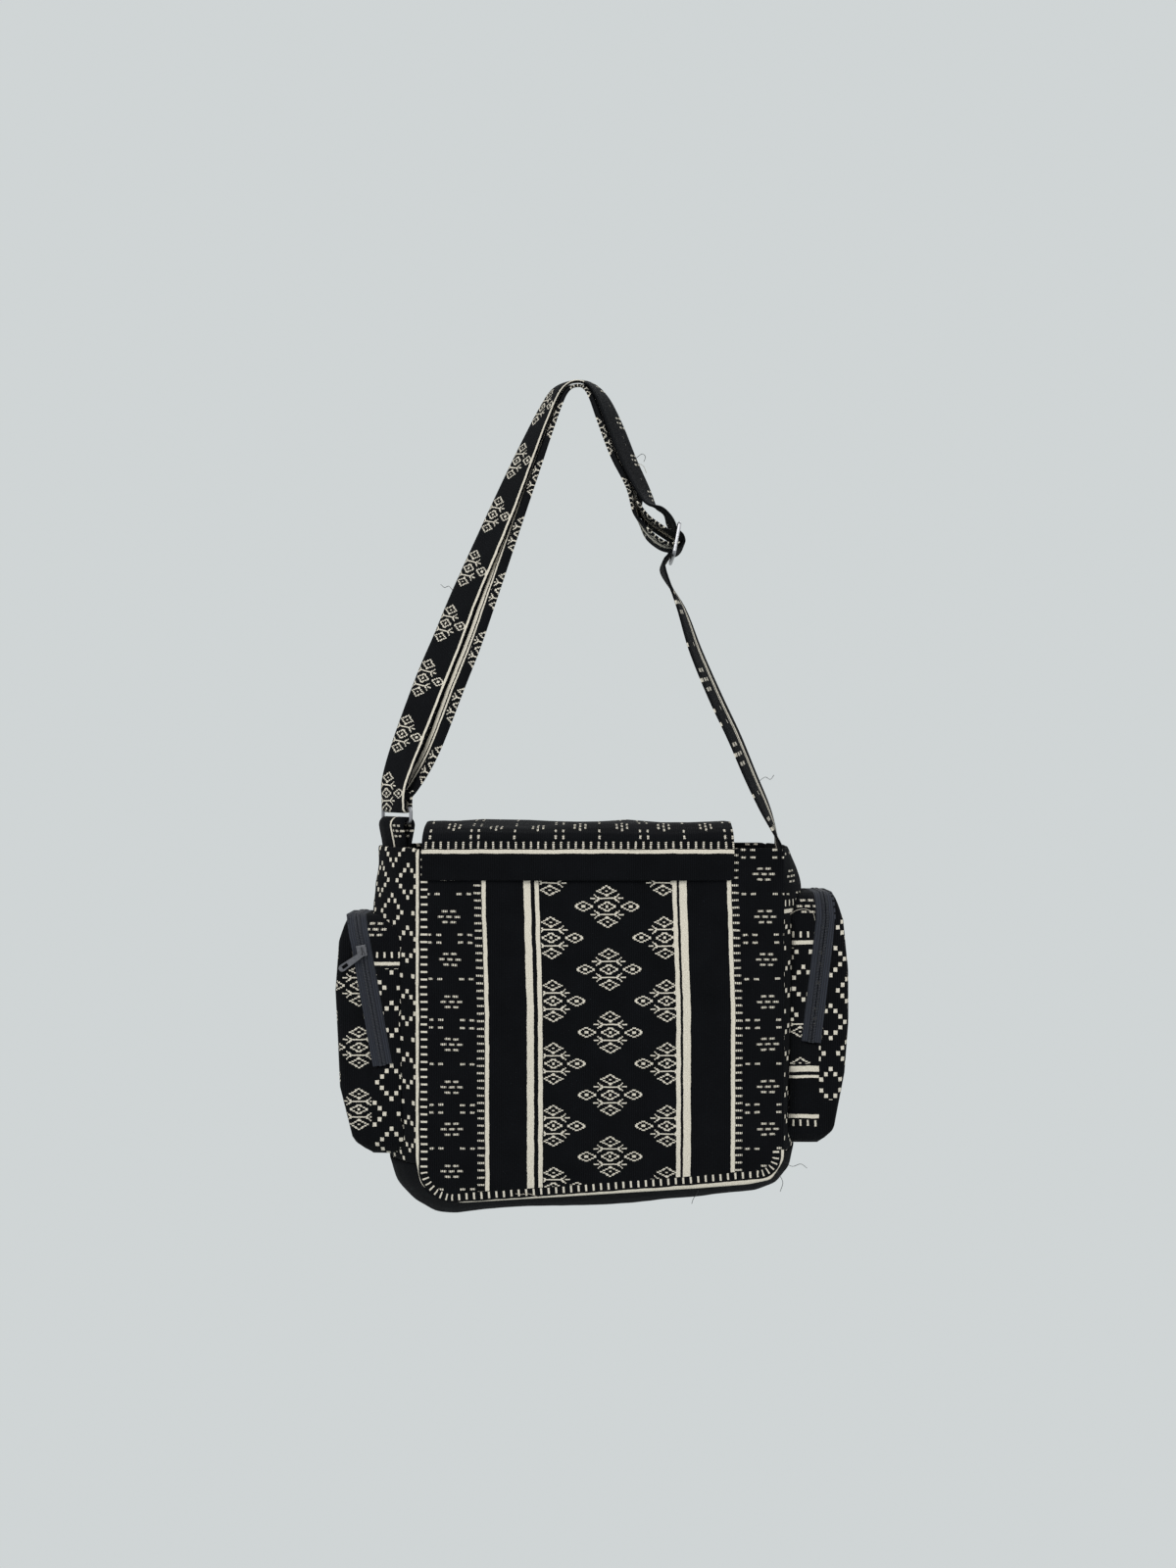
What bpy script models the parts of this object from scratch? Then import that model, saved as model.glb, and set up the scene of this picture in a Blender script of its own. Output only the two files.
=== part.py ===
"""Woven cotton shoulder bag with a flap, two zipped side pockets and an adjustable strap.

Metres, +Z up.  The origin is where the strap hangs: the underside of its highest point.
The back panel faces -Y, the flap falls over the front panel on +Y, the strap loop lies
roughly in the XZ plane.  The cloth hangs a little crooked, so left and right differ.
"""
import math

import bmesh
import bpy
import numpy as np
from mathutils import Matrix, Vector

# Driving dimensions, metres
GAP = 0.0003                 # clearance between touching pieces
CLOTH = 0.0025               # panels, gussets and flap: cloth with its lining
PANEL_WIDTH = 0.300
PANEL_TOP = -0.385           # top edge of the panels, below the hang point
PANEL_HEIGHT_LEFT = 0.291
PANEL_HEIGHT_RIGHT = 0.272   # the bag sags lower on its left
CORNER_LEFT = 0.030
CORNER_RIGHT = 0.022
BODY_OFFSET = 0.019          # body centre, right of the hang point
BODY_DEPTH = 0.090           # between the two panels' seams
PANEL_SWELL = 0.007
SEAM_DROP_LEFT = 0.259       # the side gussets end and the bottom strip begins
SEAM_DROP_RIGHT = 0.249
GUSSET_SEAM_GAP = 0.0009     # the strips meet at a slant here
SWELL_ALONG_GUSSET = [       # fraction of the way round, outward swell of the gusset
    (0.00, 0.039), (0.06, 0.0425), (0.14, 0.045), (0.24, 0.041), (0.31, 0.030),
    (0.40, 0.020), (0.52, 0.023), (0.64, 0.019), (0.74, 0.014), (0.80, 0.018),
    (0.88, 0.023), (0.96, 0.021), (1.00, 0.010)]

# Flap
FLAP_WIDTH = 0.254
FLAP_OFFSET = 0.001          # flap centre, right of the hang point
FLAP_BACK_DROP = 0.026       # how far the flap is sewn down the back panel
FLAP_FRONT_DROP = 0.205
FLAP_RISE = 0.018            # height of the fold above the panels
FLAP_CORNER = 0.035

# Side pockets: (outline in the YZ plane) and how far each stands off its seam line
POCKET_WIDTH = 0.074
POCKET_CORNER_TOP = 0.022
POCKET_CORNER_BOTTOM = 0.018
POCKET_EDGE_ROUND = 0.006
POCKET_SEAT = 0.0007         # clears the gusset's facets
POCKET_WALL_LEAST = 0.0015   # wall below the zip's line, along the pocket's bottom
LEFT_POCKET = {"top": -0.442, "bottom": -0.641, "stand_off": 0.070,
               "zip_low": 0.029, "zip_high": 0.047, "zip_over": 0.055}
RIGHT_POCKET = {"top": -0.423, "bottom": -0.632, "stand_off": 0.057,
                "zip_low": 0.024, "zip_high": 0.036, "zip_over": 0.037}

# Zips
ZIP_ARM = 0.100              # straight run of the zip down each side of a pocket
TAPE_HALF = 0.0080
TAPE_THICK = 0.0006
COIL_OUTER = 0.0028          # the closed coils reach this far each side of the middle
COIL_SLIT = 0.0008           # half the slit that the slider's post runs in
COIL_HALF_THICK = 0.0010
SLIDER_LENGTH = 0.0095
SLIDER_PLATE = 0.0009
SLIDER_SIDE = 0.0010
SLIDER_POST = 0.0005         # half the width of the post between the plates
BAIL_WIRE = 0.0007           # radius
BAIL_SPAN = 0.0050
BAIL_RISE = 0.0030
PULL_LENGTH = 0.0225
PULL_WIDTH = 0.0060
PULL_THICK = 0.0010
PULL_ANGLE = math.radians(-65)   # left pull at rest, turned from straight down

SLIDER_REST = 0.0060         # slider's middle, from the end of the straight run
ARM_STEPS = 5
BEND_STEPS = 6
LEDGE = TAPE_THICK / 2 + 2 * GAP               # tape's middle, above the ledge it lies on
TAPE_SINK = 0.0004                             # tape's middle, below the pocket's wall
SLOT_HALF = COIL_OUTER + GAP + SLIDER_SIDE + 0.0009
SLOT_DEPTH = TAPE_SINK + COIL_HALF_THICK + GAP + SLIDER_PLATE + 0.0006
SLOT_PAST = 0.0010                             # slot past the end of the tapes

# Strap
STRAP_WIDTH = 0.038
STRAP_THICK = 0.0026
WIRE = 0.0015                # radius of the ring's and the buckle's wire
SLOT_WIDTH = STRAP_WIDTH + 0.004   # clear width inside ring and buckle
WIRE_CORNER = 0.0030         # bend of the wire at ring and buckle corners
RING_UPPER_BAR = Vector((-0.1520, -0.0140, -0.3525))
RING_HEIGHT = 0.012          # between the ring's two bars
RING_TURN = math.radians(50)     # the ring's bars, turned from +X towards -Y
RING_SLACK = 0.0042          # inner radius of the tab's loop, which lets the ring rock
TAB_WIDTH = 0.036
TAB_BOTTOM = -0.412
BUCKLE_CENTRE = Vector((0.0835, 0.0, -0.1273))
BUCKLE_LEAN = math.radians(10.4)
BUCKLE_PITCH = 0.0135        # between the centre bar and each outer bar
BUCKLE_PLAY = 0.0010         # the strap's clearance to the outer bars

LAYER_PITCH = STRAP_THICK + 2 * GAP   # least distance between the strap's two layers
PER_SPAN = 3                 # points of the strap's curve between two route points
RING_WRAP_ROWS = 5


def clear_scene():
    for item in list(bpy.data.objects):
        bpy.data.objects.remove(item, do_unlink=True)


def make_collection(name):
    collection = bpy.data.collections.new(name)
    bpy.context.scene.collection.children.link(collection)
    return collection


def make_material(name, colour, roughness, metallic=0.0):
    material = bpy.data.materials.new(name)
    material.use_nodes = True
    shader = material.node_tree.nodes["Principled BSDF"]
    shader.inputs["Base Color"].default_value = (*colour, 1.0)
    shader.inputs["Roughness"].default_value = roughness
    shader.inputs["Metallic"].default_value = metallic
    material.diffuse_color = (*colour, 1.0)
    return material


def add_object(name, mesh, material, collection, matrix=None):
    item = bpy.data.objects.new(name, mesh)
    collection.objects.link(item)
    mesh.materials.clear()
    mesh.materials.append(material)
    if matrix is not None:
        item.matrix_world = matrix
    return item


def mesh_from_bmesh(name, bm):
    bmesh.ops.recalc_face_normals(bm, faces=bm.faces[:])
    mesh = bpy.data.meshes.new(name)
    bm.to_mesh(mesh)
    bm.free()
    return mesh


def shade(mesh):
    mesh.shade_smooth()
    mesh.set_sharp_from_angle(angle=math.radians(35))


# Curves and outlines
def smooth_path(rows, per_span):
    """Catmull-Rom curve through rows of numbers, with per_span points in each span."""
    rows = np.array(rows, dtype=float)
    padded = np.vstack([2 * rows[0] - rows[1], rows, 2 * rows[-1] - rows[-2]])
    points = []
    for i in range(1, len(padded) - 2):
        a, b, c, d = padded[i - 1:i + 3]
        for step in range(per_span):
            t = step / per_span
            points.append(0.5 * (2 * b + (c - a) * t + (2 * a - 5 * b + 4 * c - d) * t ** 2
                                 + (3 * b - a - 3 * c + d) * t ** 3))
    points.append(rows[-1])
    return np.array(points)


def round_corners(corners, arc_points=7):
    """Open or closed outline of (u, v, radius) corners; a zero radius stays sharp."""
    points = []
    count = len(corners)
    for i, (u, v, radius) in enumerate(corners):
        here = np.array([u, v])
        if radius == 0:
            points.append(here)
            continue
        before = np.array(corners[i - 1][:2]) - here
        after = np.array(corners[(i + 1) % count][:2]) - here
        before /= np.linalg.norm(before)
        after /= np.linalg.norm(after)
        half_angle = math.acos(np.clip(before @ after, -1, 1)) / 2
        middle = (before + after) / np.linalg.norm(before + after)
        centre = here + middle * radius / math.sin(half_angle)
        start = here + before * radius / math.tan(half_angle) - centre
        end = here + after * radius / math.tan(half_angle) - centre
        turn = math.pi - 2 * half_angle
        for k in range(arc_points):
            t = k / (arc_points - 1)
            points.append(centre + (start * math.sin((1 - t) * turn)
                                    + end * math.sin(t * turn)) / math.sin(turn))
    return np.array(points)


def spread_evenly(points, count, closed=False):
    """Points at even steps along a polyline."""
    if closed:
        points = np.vstack([points, points[:1]])
    steps = np.linalg.norm(np.diff(points, axis=0), axis=1)
    along = np.concatenate([[0], np.cumsum(steps)])
    stations = np.linspace(0, along[-1], count, endpoint=not closed)
    return np.stack([np.interp(stations, along, points[:, k]) for k in range(points.shape[1])], 1)


def curve_value(pairs, at):
    """Smooth value at one place of a list of (place, value) pairs."""
    path = smooth_path(pairs, 8)
    return float(np.interp(at, path[:, 0], path[:, 1]))


# The body's outline, seen from behind the bag: down the left, along the bottom, up the right
LEFT_X = BODY_OFFSET - PANEL_WIDTH / 2
RIGHT_X = BODY_OFFSET + PANEL_WIDTH / 2
HALF_DEPTH = BODY_DEPTH / 2
U_PATH = round_corners([
    (LEFT_X, PANEL_TOP, 0),
    (LEFT_X, PANEL_TOP - PANEL_HEIGHT_LEFT, CORNER_LEFT),
    (RIGHT_X, PANEL_TOP - PANEL_HEIGHT_RIGHT, CORNER_RIGHT),
    (RIGHT_X, PANEL_TOP, 0)])
U_LENGTH = float(np.linalg.norm(np.diff(U_PATH, axis=0), axis=1).sum())
U_FINE = spread_evenly(U_PATH, 400)


def outline_point(fraction):
    """Point of the U outline and its outward direction, both as (x, z)."""
    place = fraction * (len(U_FINE) - 1)
    low = int(np.clip(math.floor(place), 1, len(U_FINE) - 3))
    point = U_FINE[low] + (U_FINE[low + 1] - U_FINE[low]) * (place - low)
    tangent = U_FINE[low + 2] - U_FINE[low - 1]
    tangent /= np.linalg.norm(tangent)
    return point, np.array([tangent[1], -tangent[0]])


def gusset_point(fraction, across):
    """Outer surface of the gusset; across runs from -1 at the back to 1 at the front."""
    point, outward = outline_point(fraction)
    swell = curve_value(SWELL_ALONG_GUSSET, fraction) * (1 - across ** 2)
    x, z = point + outward * swell
    return Vector((x, across * (HALF_DEPTH - GAP), z))


def side_swell(side, y, z):
    """How far the side gusset stands out from the body's side line at a height and depth."""
    half_way = len(U_FINE) // 2
    heights = U_FINE[:half_way, 1] if side < 0 else U_FINE[half_way:, 1]
    index = int(np.argmin(np.abs(heights - z))) + (0 if side < 0 else half_way)
    fraction = index / (len(U_FINE) - 1)
    point, outward = outline_point(fraction)
    across = y / (HALF_DEPTH - GAP)
    swell = curve_value(SWELL_ALONG_GUSSET, fraction) * max(0.0, 1 - across ** 2)
    line = LEFT_X if side < 0 else RIGHT_X
    return side * (point[0] + outward[0] * swell - line)


def panel_swell(x, z):
    """How far a panel bellies out of its seam plane."""
    u = (x - BODY_OFFSET) / (PANEL_WIDTH / 2)
    v = (z - PANEL_TOP) / (-PANEL_HEIGHT_LEFT / 2) - 1
    return PANEL_SWELL * max(0.0, 1 - u ** 2) * max(0.0, 1 - v ** 2)


# Solids
def sheet(name, rows, thickness, offset, material, collection):
    """Solidified open surface from rows of points."""
    bm = bmesh.new()
    grid = [[bm.verts.new(point) for point in row] for row in rows]
    for upper, lower in zip(grid, grid[1:]):
        for i in range(len(upper) - 1):
            bm.faces.new((upper[i], upper[i + 1], lower[i + 1], lower[i]))
    mesh = mesh_from_bmesh(name, bm)
    return solidify(add_object(name, mesh, material, collection), thickness, offset)


def solidify(item, thickness, offset):
    modifier = item.modifiers.new("Thickness", "SOLIDIFY")
    modifier.thickness = thickness
    modifier.offset = offset
    modifier.use_even_offset = True
    shade(item.data)
    return item


def loft(name, loops, material, collection, closed_path=False, matrix=None):
    """Closed solid through loops of equal length, with flat or pointed ends."""
    bm = bmesh.new()
    rings = [[bm.verts.new(point) for point in loop] for loop in loops]
    pairs = list(zip(rings, rings[1:]))
    if closed_path:
        pairs.append((rings[-1], rings[0]))
    for first, second in pairs:
        for i in range(len(first)):
            j = (i + 1) % len(first)
            bm.faces.new((first[i], first[j], second[j], second[i]))
    if not closed_path:
        bm.faces.new(rings[0][::-1])
        bm.faces.new(rings[-1])
    mesh = mesh_from_bmesh(name, bm)
    shade(mesh)
    return add_object(name, mesh, material, collection, matrix)


def band_loop(origin, width_way, normal, w_range, n_range):
    """Four corners of a band's cross-section."""
    w_low, w_high = w_range
    n_low, n_high = n_range
    return [origin + width_way * w + normal * n
            for w, n in ((w_low, n_low), (w_high, n_low), (w_high, n_high), (w_low, n_high))]


def ribbon_frames(rows):
    """Frames along rows of (x, y, z, wx, wz): the width runs towards (wx, -1, wz)."""
    rows = np.array(rows)
    places = rows[:, :3]
    tangents = np.gradient(places, axis=0)
    frames = []
    for place, tangent, lean in zip(places, tangents, rows[:, 3:]):
        along = Vector(tangent).normalized()
        width = Vector((lean[0], -1, lean[1]))
        width = (width - along * width.dot(along)).normalized()
        frames.append((Vector(place), width, along.cross(width).normalized()))
    return frames


def ribbon(name, frames, width, thickness, material, collection):
    loops = [band_loop(origin, width_way, normal, (-width / 2, width / 2),
                       (-thickness / 2, thickness / 2)) for origin, width_way, normal in frames]
    return loft(name, loops, material, collection)


def wire_loop(name, half_length, half_height, corner, radius):
    """Mesh of a round-cornered wire loop in its local XZ plane."""
    outline = round_corners([(-half_length, -half_height, corner), (half_length, -half_height, corner),
                             (half_length, half_height, corner), (-half_length, half_height, corner)], 5)
    curve = bpy.data.curves.new(name, "CURVE")
    curve.dimensions = "3D"
    curve.bevel_depth = radius
    curve.bevel_resolution = 2
    spline = curve.splines.new("POLY")
    spline.points.add(len(outline) - 1)
    for point, (u, v) in zip(spline.points, outline):
        point.co = (u, 0, v, 1)
    spline.use_cyclic_u = True
    holder = bpy.data.objects.new(name, curve)
    bpy.context.scene.collection.objects.link(holder)
    depsgraph = bpy.context.evaluated_depsgraph_get()
    mesh = bpy.data.meshes.new_from_object(holder.evaluated_get(depsgraph))
    bpy.data.objects.remove(holder, do_unlink=True)
    return mesh


def box_mesh(name, low, high):
    bm = bmesh.new()
    bmesh.ops.create_cube(bm, size=1.0)
    low, high = Vector(low), Vector(high)
    for vert in bm.verts:
        vert.co = Vector([low[k] + (vert.co[k] + 0.5) * (high[k] - low[k]) for k in range(3)])
    return mesh_from_bmesh(name, bm)


def cylinder_mesh(name, radius, start, end, sides=16):
    start, end = Vector(start), Vector(end)
    turn = (end - start).to_track_quat("Z", "Y").to_matrix().to_4x4()
    bm = bmesh.new()
    bmesh.ops.create_cone(bm, cap_ends=True, segments=sides, radius1=radius, radius2=radius,
                          depth=(end - start).length,
                          matrix=Matrix.Translation((start + end) / 2) @ turn)
    return mesh_from_bmesh(name, bm)


def add_boolean(item, other_mesh, operation, cutters):
    """Join or cut with a mesh given in the item's own coordinates."""
    other = bpy.data.objects.new(f"{item.name}_{operation.lower()}_{len(item.modifiers)}", other_mesh)
    cutters.objects.link(other)
    other.matrix_world = item.matrix_world
    other.hide_render = True
    other.display_type = "WIRE"
    modifier = item.modifiers.new(operation.title(), "BOOLEAN")
    modifier.operation = operation
    modifier.object = other
    return item


# Body panels and gussets
def panel(name, side, material, collection):
    """Back (side -1) or front (side 1) panel: rings from the seam in to the middle."""
    rim = np.vstack([spread_evenly(U_PATH, 44), spread_evenly(
        np.array([[RIGHT_X, PANEL_TOP], [LEFT_X, PANEL_TOP]]), 13)[1:-1]])
    middle = np.array([BODY_OFFSET, PANEL_TOP - PANEL_HEIGHT_LEFT / 2])
    bm = bmesh.new()
    rings = []
    for scale in (1.0, 0.86, 0.68, 0.46, 0.22):
        ring = []
        for x, z in middle + (rim - middle) * scale:
            ring.append(bm.verts.new((x, side * (HALF_DEPTH + panel_swell(x, z)), z)))
        rings.append(ring)
    for outer, inner in zip(rings, rings[1:]):
        for i in range(len(outer)):
            j = (i + 1) % len(outer)
            bm.faces.new((outer[i], outer[j], inner[j], inner[i]))
    hub = bm.verts.new((middle[0], side * (HALF_DEPTH + PANEL_SWELL), middle[1]))
    for i in range(len(rim)):
        bm.faces.new((rings[-1][i], rings[-1][(i + 1) % len(rim)], hub))
    mesh = mesh_from_bmesh(name, bm)
    item = add_object(name, mesh, material, collection)
    outward = mesh.polygons[-1].normal.y * side > 0
    return solidify(item, CLOTH, 1 if outward else -1)


def gusset(name, start, end, steps, material, collection):
    rows = [[gusset_point(start + (end - start) * i / steps, -1 + 2 * k / 8) for k in range(9)]
            for i in range(steps + 1)]
    item = sheet(name, rows, CLOTH, -1, material, collection)
    face = item.data.polygons[len(item.data.polygons) // 2]
    middle = Vector((BODY_OFFSET, 0, PANEL_TOP - PANEL_HEIGHT_LEFT / 2))
    if face.normal.dot(face.center - middle) < 0:
        item.modifiers["Thickness"].offset = 1
    return item


def build_flap(material, collection):
    """From its seam on the back panel, over the top and down the front."""
    inner = HALF_DEPTH + CLOTH + 2 * GAP
    profile = [(-inner, PANEL_TOP - FLAP_BACK_DROP * (1 - i / 3)) for i in range(4)]
    for i in range(1, 12):
        angle = math.pi * (1 - i / 12)
        y = inner * math.copysign(abs(math.cos(angle)) ** 0.8, math.cos(angle))
        profile.append((y, PANEL_TOP + FLAP_RISE * math.sin(angle) ** 0.8))
    profile += [(inner, PANEL_TOP - FLAP_FRONT_DROP * i / 12) for i in range(13)]
    rows = []
    for y, z in profile:
        from_end = FLAP_FRONT_DROP - (PANEL_TOP - z) if y > 0 else FLAP_CORNER
        short = max(0.0, FLAP_CORNER - from_end)
        half = FLAP_WIDTH / 2 - (FLAP_CORNER - math.sqrt(max(0.0, FLAP_CORNER ** 2 - short ** 2)))
        row = []
        for k in range(11):
            x = FLAP_OFFSET + half * (-1 + 2 * k / 10)
            swell = panel_swell(x, z) if z <= PANEL_TOP else 0.0
            row.append(Vector((x, y + math.copysign(swell, y) if abs(y) >= inner else y, z)))
        rows.append(row)
    item = sheet("flap", rows, CLOTH, 1, material, collection)
    face = item.data.polygons[-1]
    if face.normal.y < 0:
        item.modifiers["Thickness"].offset = -1
    return item


# Pockets and zips
def pocket_outline(pocket):
    """Closed rows of (y, z, outward y, outward z, stand-off, slotted) round a pocket."""
    stations = zip_stations(pocket)
    first = (stations[0][0], stations[0][1] - SLOT_PAST, *stations[0][2:])
    last = (-first[0], first[1], -first[2], *first[3:])
    rows = [(*row, True) for row in [first] + stations + [last]]
    half = POCKET_WIDTH / 2
    radius = POCKET_CORNER_BOTTOM
    low = first[1] - SLOT_DEPTH
    bend = pocket["bottom"] + radius
    side = [(half, z, 1, 0) for z in np.linspace(low, bend, 4)[:-1]]
    for angle in np.linspace(0, math.pi / 2, 5):
        side.append((half - radius + radius * math.cos(angle), bend - radius * math.sin(angle),
                     math.cos(angle), -math.sin(angle)))
    side += [((half - radius) * (1 - i / 4), pocket["bottom"], 0, -1) for i in (1, 2, 3, 4)]
    side += [(-y, z, -out_y, out_z) for y, z, out_y, out_z in side[-2::-1]]
    return rows + [(*row, pocket["zip_low"], False) for row in side]


def zip_stations(pocket):
    """Rows of (y, z, outward y, outward z, stand-off) along the zip, front arm last."""
    half = POCKET_WIDTH / 2
    high = pocket["top"] - POCKET_CORNER_TOP
    low = high - ZIP_ARM
    radius = POCKET_CORNER_TOP
    rows = []
    for i in range(ARM_STEPS):
        t = i / ARM_STEPS
        rows.append((-half, low + ZIP_ARM * t, -1, 0,
                     pocket["zip_low"] + (pocket["zip_high"] - pocket["zip_low"]) * t))
    for i in range(BEND_STEPS + 1):
        angle = math.pi / 2 * i / BEND_STEPS
        rows.append((-half + radius - radius * math.cos(angle), high + radius * math.sin(angle),
                     -math.cos(angle), math.sin(angle),
                     pocket["zip_high"] + (pocket["zip_over"] - pocket["zip_high"]) * i / BEND_STEPS))
    flat = half - radius
    rows += [(-flat * (1 - i / 3), pocket["top"], 0, 1, pocket["zip_over"]) for i in (1, 2)]
    middle = [(0, pocket["top"], 0, 1, pocket["zip_over"])]
    return rows + middle + [(-y, z, -out_y, out_z, off) for y, z, out_y, out_z, off in rows[::-1]]


def zip_frames(side, pocket):
    """Frames of the zip's middle line, on the pocket's wall: place, width way, outward way."""
    seam_x = LEFT_X if side < 0 else RIGHT_X
    rows = zip_stations(pocket)
    places = [Vector((seam_x + side * off, y, z)) for y, z, _, _, off in rows]
    frames = []
    for i, (_, _, out_y, out_z, _) in enumerate(rows):
        along = (places[min(i + 1, len(rows) - 1)] - places[max(i - 1, 0)]).normalized()
        outward = Vector((0, out_y, out_z))
        outward = (outward - along * outward.dot(along)).normalized()
        frames.append((places[i], outward.cross(along).normalized() * side, outward))
    return frames


def build_pocket(name, side, pocket, material, collection):
    """Wall with the zip's slot in it, on a base that follows the gusset."""
    seam_x = LEFT_X if side < 0 else RIGHT_X
    rows = pocket_outline(pocket)
    outline = np.array([row[:2] for row in rows])
    inward = -np.array([row[2:4] for row in rows])
    zip_off = np.array([row[4] for row in rows])
    slotted = np.array([row[5] for row in rows])
    edge = TAPE_HALF + GAP
    base = np.array([side_swell(side, y, z) + POCKET_SEAT for y, z in outline])
    zip_off = np.maximum(zip_off, np.where(slotted, 0, base + edge + POCKET_WALL_LEAST))
    ledge_depth = TAPE_SINK + LEDGE
    centre = outline.mean(axis=0)
    loops = []

    def add_loop(inset, stand_offs):
        spots = outline + inward * np.array(inset)[:, None]
        loops.append([Vector((seam_x + side * off, y, z)) for (y, z), off in zip(spots, stand_offs)])

    flat = np.zeros(len(outline))
    for scale in (0.05, 0.2, 0.4, 0.6, 0.8, 1.0):
        spots = centre + (outline - centre) * scale
        loops.append([Vector((seam_x + side * (side_swell(side, y, z) + POCKET_SEAT), y, z))
                      for y, z in spots])
    for depth, offset in ((0, -edge), (ledge_depth, -edge), (ledge_depth, -SLOT_HALF),
                          (SLOT_DEPTH, -SLOT_HALF), (SLOT_DEPTH, SLOT_HALF),
                          (ledge_depth, SLOT_HALF), (ledge_depth, edge), (0, edge)):
        add_loop(np.where(slotted, depth, 0), zip_off + offset)
    outer = pocket["stand_off"]
    full = flat + outer
    add_loop(flat, full - POCKET_EDGE_ROUND)
    add_loop(flat + POCKET_EDGE_ROUND * 0.3, full - POCKET_EDGE_ROUND * 0.3)
    add_loop(flat + POCKET_EDGE_ROUND, full)
    for scale in (0.55, 0.2):
        spots = centre + (outline - centre) * scale
        loops.append([Vector((seam_x + side * outer, y, z)) for y, z in spots])
    return loft(name, loops, material, collection)


def build_zip(prefix, side, pocket, tape_material, coil_material, collection):
    frames = zip_frames(side, pocket)
    sunk = [(place - outward * TAPE_SINK, width, outward) for place, width, outward in frames]
    tape = (-TAPE_THICK / 2, TAPE_THICK / 2)
    coil_gap = COIL_OUTER + GAP
    for label, w_range in (("inner", (-TAPE_HALF, -coil_gap)), ("outer", (coil_gap, TAPE_HALF))):
        loops = [band_loop(*frame, w_range, tape) for frame in sunk]
        loft(f"{prefix}_zip_tape_{label}", loops, tape_material, collection)
    thick = (-COIL_HALF_THICK, COIL_HALF_THICK)
    for label, w_range in (("inner", (-COIL_OUTER, -COIL_SLIT)), ("outer", (COIL_SLIT, COIL_OUTER))):
        loops = [band_loop(*frame, w_range, thick) for frame in sunk]
        loft(f"{prefix}_zip_coil_{label}", loops, coil_material, collection)
    return sunk


def slider_matrix(frame, toward_top):
    """Local X across the zip, Y along it towards the open end, Z out of the pocket."""
    place, width, outward = frame
    along = outward.cross(width).normalized()
    if along.z * toward_top < 0:
        along = -along
    across = along.cross(outward).normalized()
    matrix = Matrix((across, along, outward)).transposed().to_4x4()
    matrix.translation = place
    return matrix


def build_slider(name, matrix, material, collection, cutters):
    """Two plates joined by a post, with side walls and a wire bail on top."""
    half_inner = COIL_HALF_THICK + GAP
    half_outer = half_inner + SLIDER_PLATE
    side_inner = COIL_OUTER + GAP
    side_outer = side_inner + SLIDER_SIDE
    half = SLIDER_LENGTH / 2
    mesh = box_mesh(name, (-side_outer, -half, -half_outer), (side_outer, half, half_outer))
    item = add_object(name, mesh, material, collection, matrix)
    bevel = item.modifiers.new("Edges", "BEVEL")
    bevel.width = 0.0004
    bevel.segments = 1
    past = half + 0.001
    post_end = half - 0.0022
    slit = TAPE_THICK / 2 + GAP
    cuts = [((-side_inner, -past, -half_inner), (-SLIDER_POST, past, half_inner)),
            ((SLIDER_POST, -past, -half_inner), (side_inner, past, half_inner)),
            ((-2 * SLIDER_POST, -past, -half_inner * 0.999), (2 * SLIDER_POST, post_end, half_inner * 0.999)),
            ((-side_outer - 0.001, -past, -slit), (-side_inner + 0.0002, past, slit)),
            ((side_inner - 0.0002, -past, -slit), (side_outer + 0.001, past, slit))]
    for low, high in cuts:
        add_boolean(item, box_mesh(name + "_cut", low, high), "DIFFERENCE", cutters)
    base = half_outer - 0.0003
    top = half_outer + BAIL_RISE
    leg = BAIL_SPAN / 2
    bars = [((0, -leg, base), (0, -leg, top)), ((0, leg, base), (0, leg, top)),
            ((0, -leg - BAIL_WIRE, top), (0, leg + BAIL_WIRE, top))]
    for start, end in bars:
        add_boolean(item, cylinder_mesh(name + "_bail", BAIL_WIRE, start, end, 10), "UNION", cutters)
    return item


def build_pull(name, slider, leg, angle, material, collection, cutters):
    """Flat tab whose eye turns on one leg of the bail, the lower one as it hangs."""
    lift = COIL_HALF_THICK + GAP + SLIDER_PLATE + 0.0008
    pin = Matrix.Translation((0, leg * BAIL_SPAN / 2, lift + PULL_THICK / 2))
    hang = 0 if leg < 0 else math.pi
    matrix = slider.matrix_world @ pin @ Matrix.Rotation(hang + angle, 4, "Z")
    eye = BAIL_WIRE + 0.0004
    head = eye + 0.0010
    tail = PULL_WIDTH / 2
    outline = round_corners([(-head, head, head * 0.9), (-tail, -PULL_LENGTH, tail * 0.95),
                             (tail, -PULL_LENGTH, tail * 0.95), (head, head, head * 0.9)], 5)
    low = [Vector((u, v, -PULL_THICK / 2)) for u, v in outline]
    high = [Vector((u, v, PULL_THICK / 2)) for u, v in outline]
    item = loft(name, [low, high], material, collection, matrix=matrix)
    hole = cylinder_mesh(name + "_eye", eye, (0, 0, -0.002), (0, 0, 0.002), 14)
    add_boolean(item, hole, "DIFFERENCE", cutters)
    window = box_mesh(name + "_window", (-tail * 0.45, -PULL_LENGTH * 0.86, -0.002),
                      (tail * 0.45, -PULL_LENGTH * 0.62, 0.002))
    return add_boolean(item, window, "DIFFERENCE", cutters)


# Strap, ring, tab and buckle
RING_WAY = Vector((math.cos(RING_TURN), -math.sin(RING_TURN), 0))
RING_SIDE = Vector((math.sin(RING_TURN), math.cos(RING_TURN), 0))
RING_LEAN = (1 / math.tan(RING_TURN), 0.0)
WRAP_RADIUS = WIRE + GAP + STRAP_THICK / 2
BUCKLE_UP = Vector((math.sin(BUCKLE_LEAN), 0, math.cos(BUCKLE_LEAN)))
BUCKLE_OUT = Vector((math.cos(BUCKLE_LEAN), 0, -math.sin(BUCKLE_LEAN)))


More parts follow.
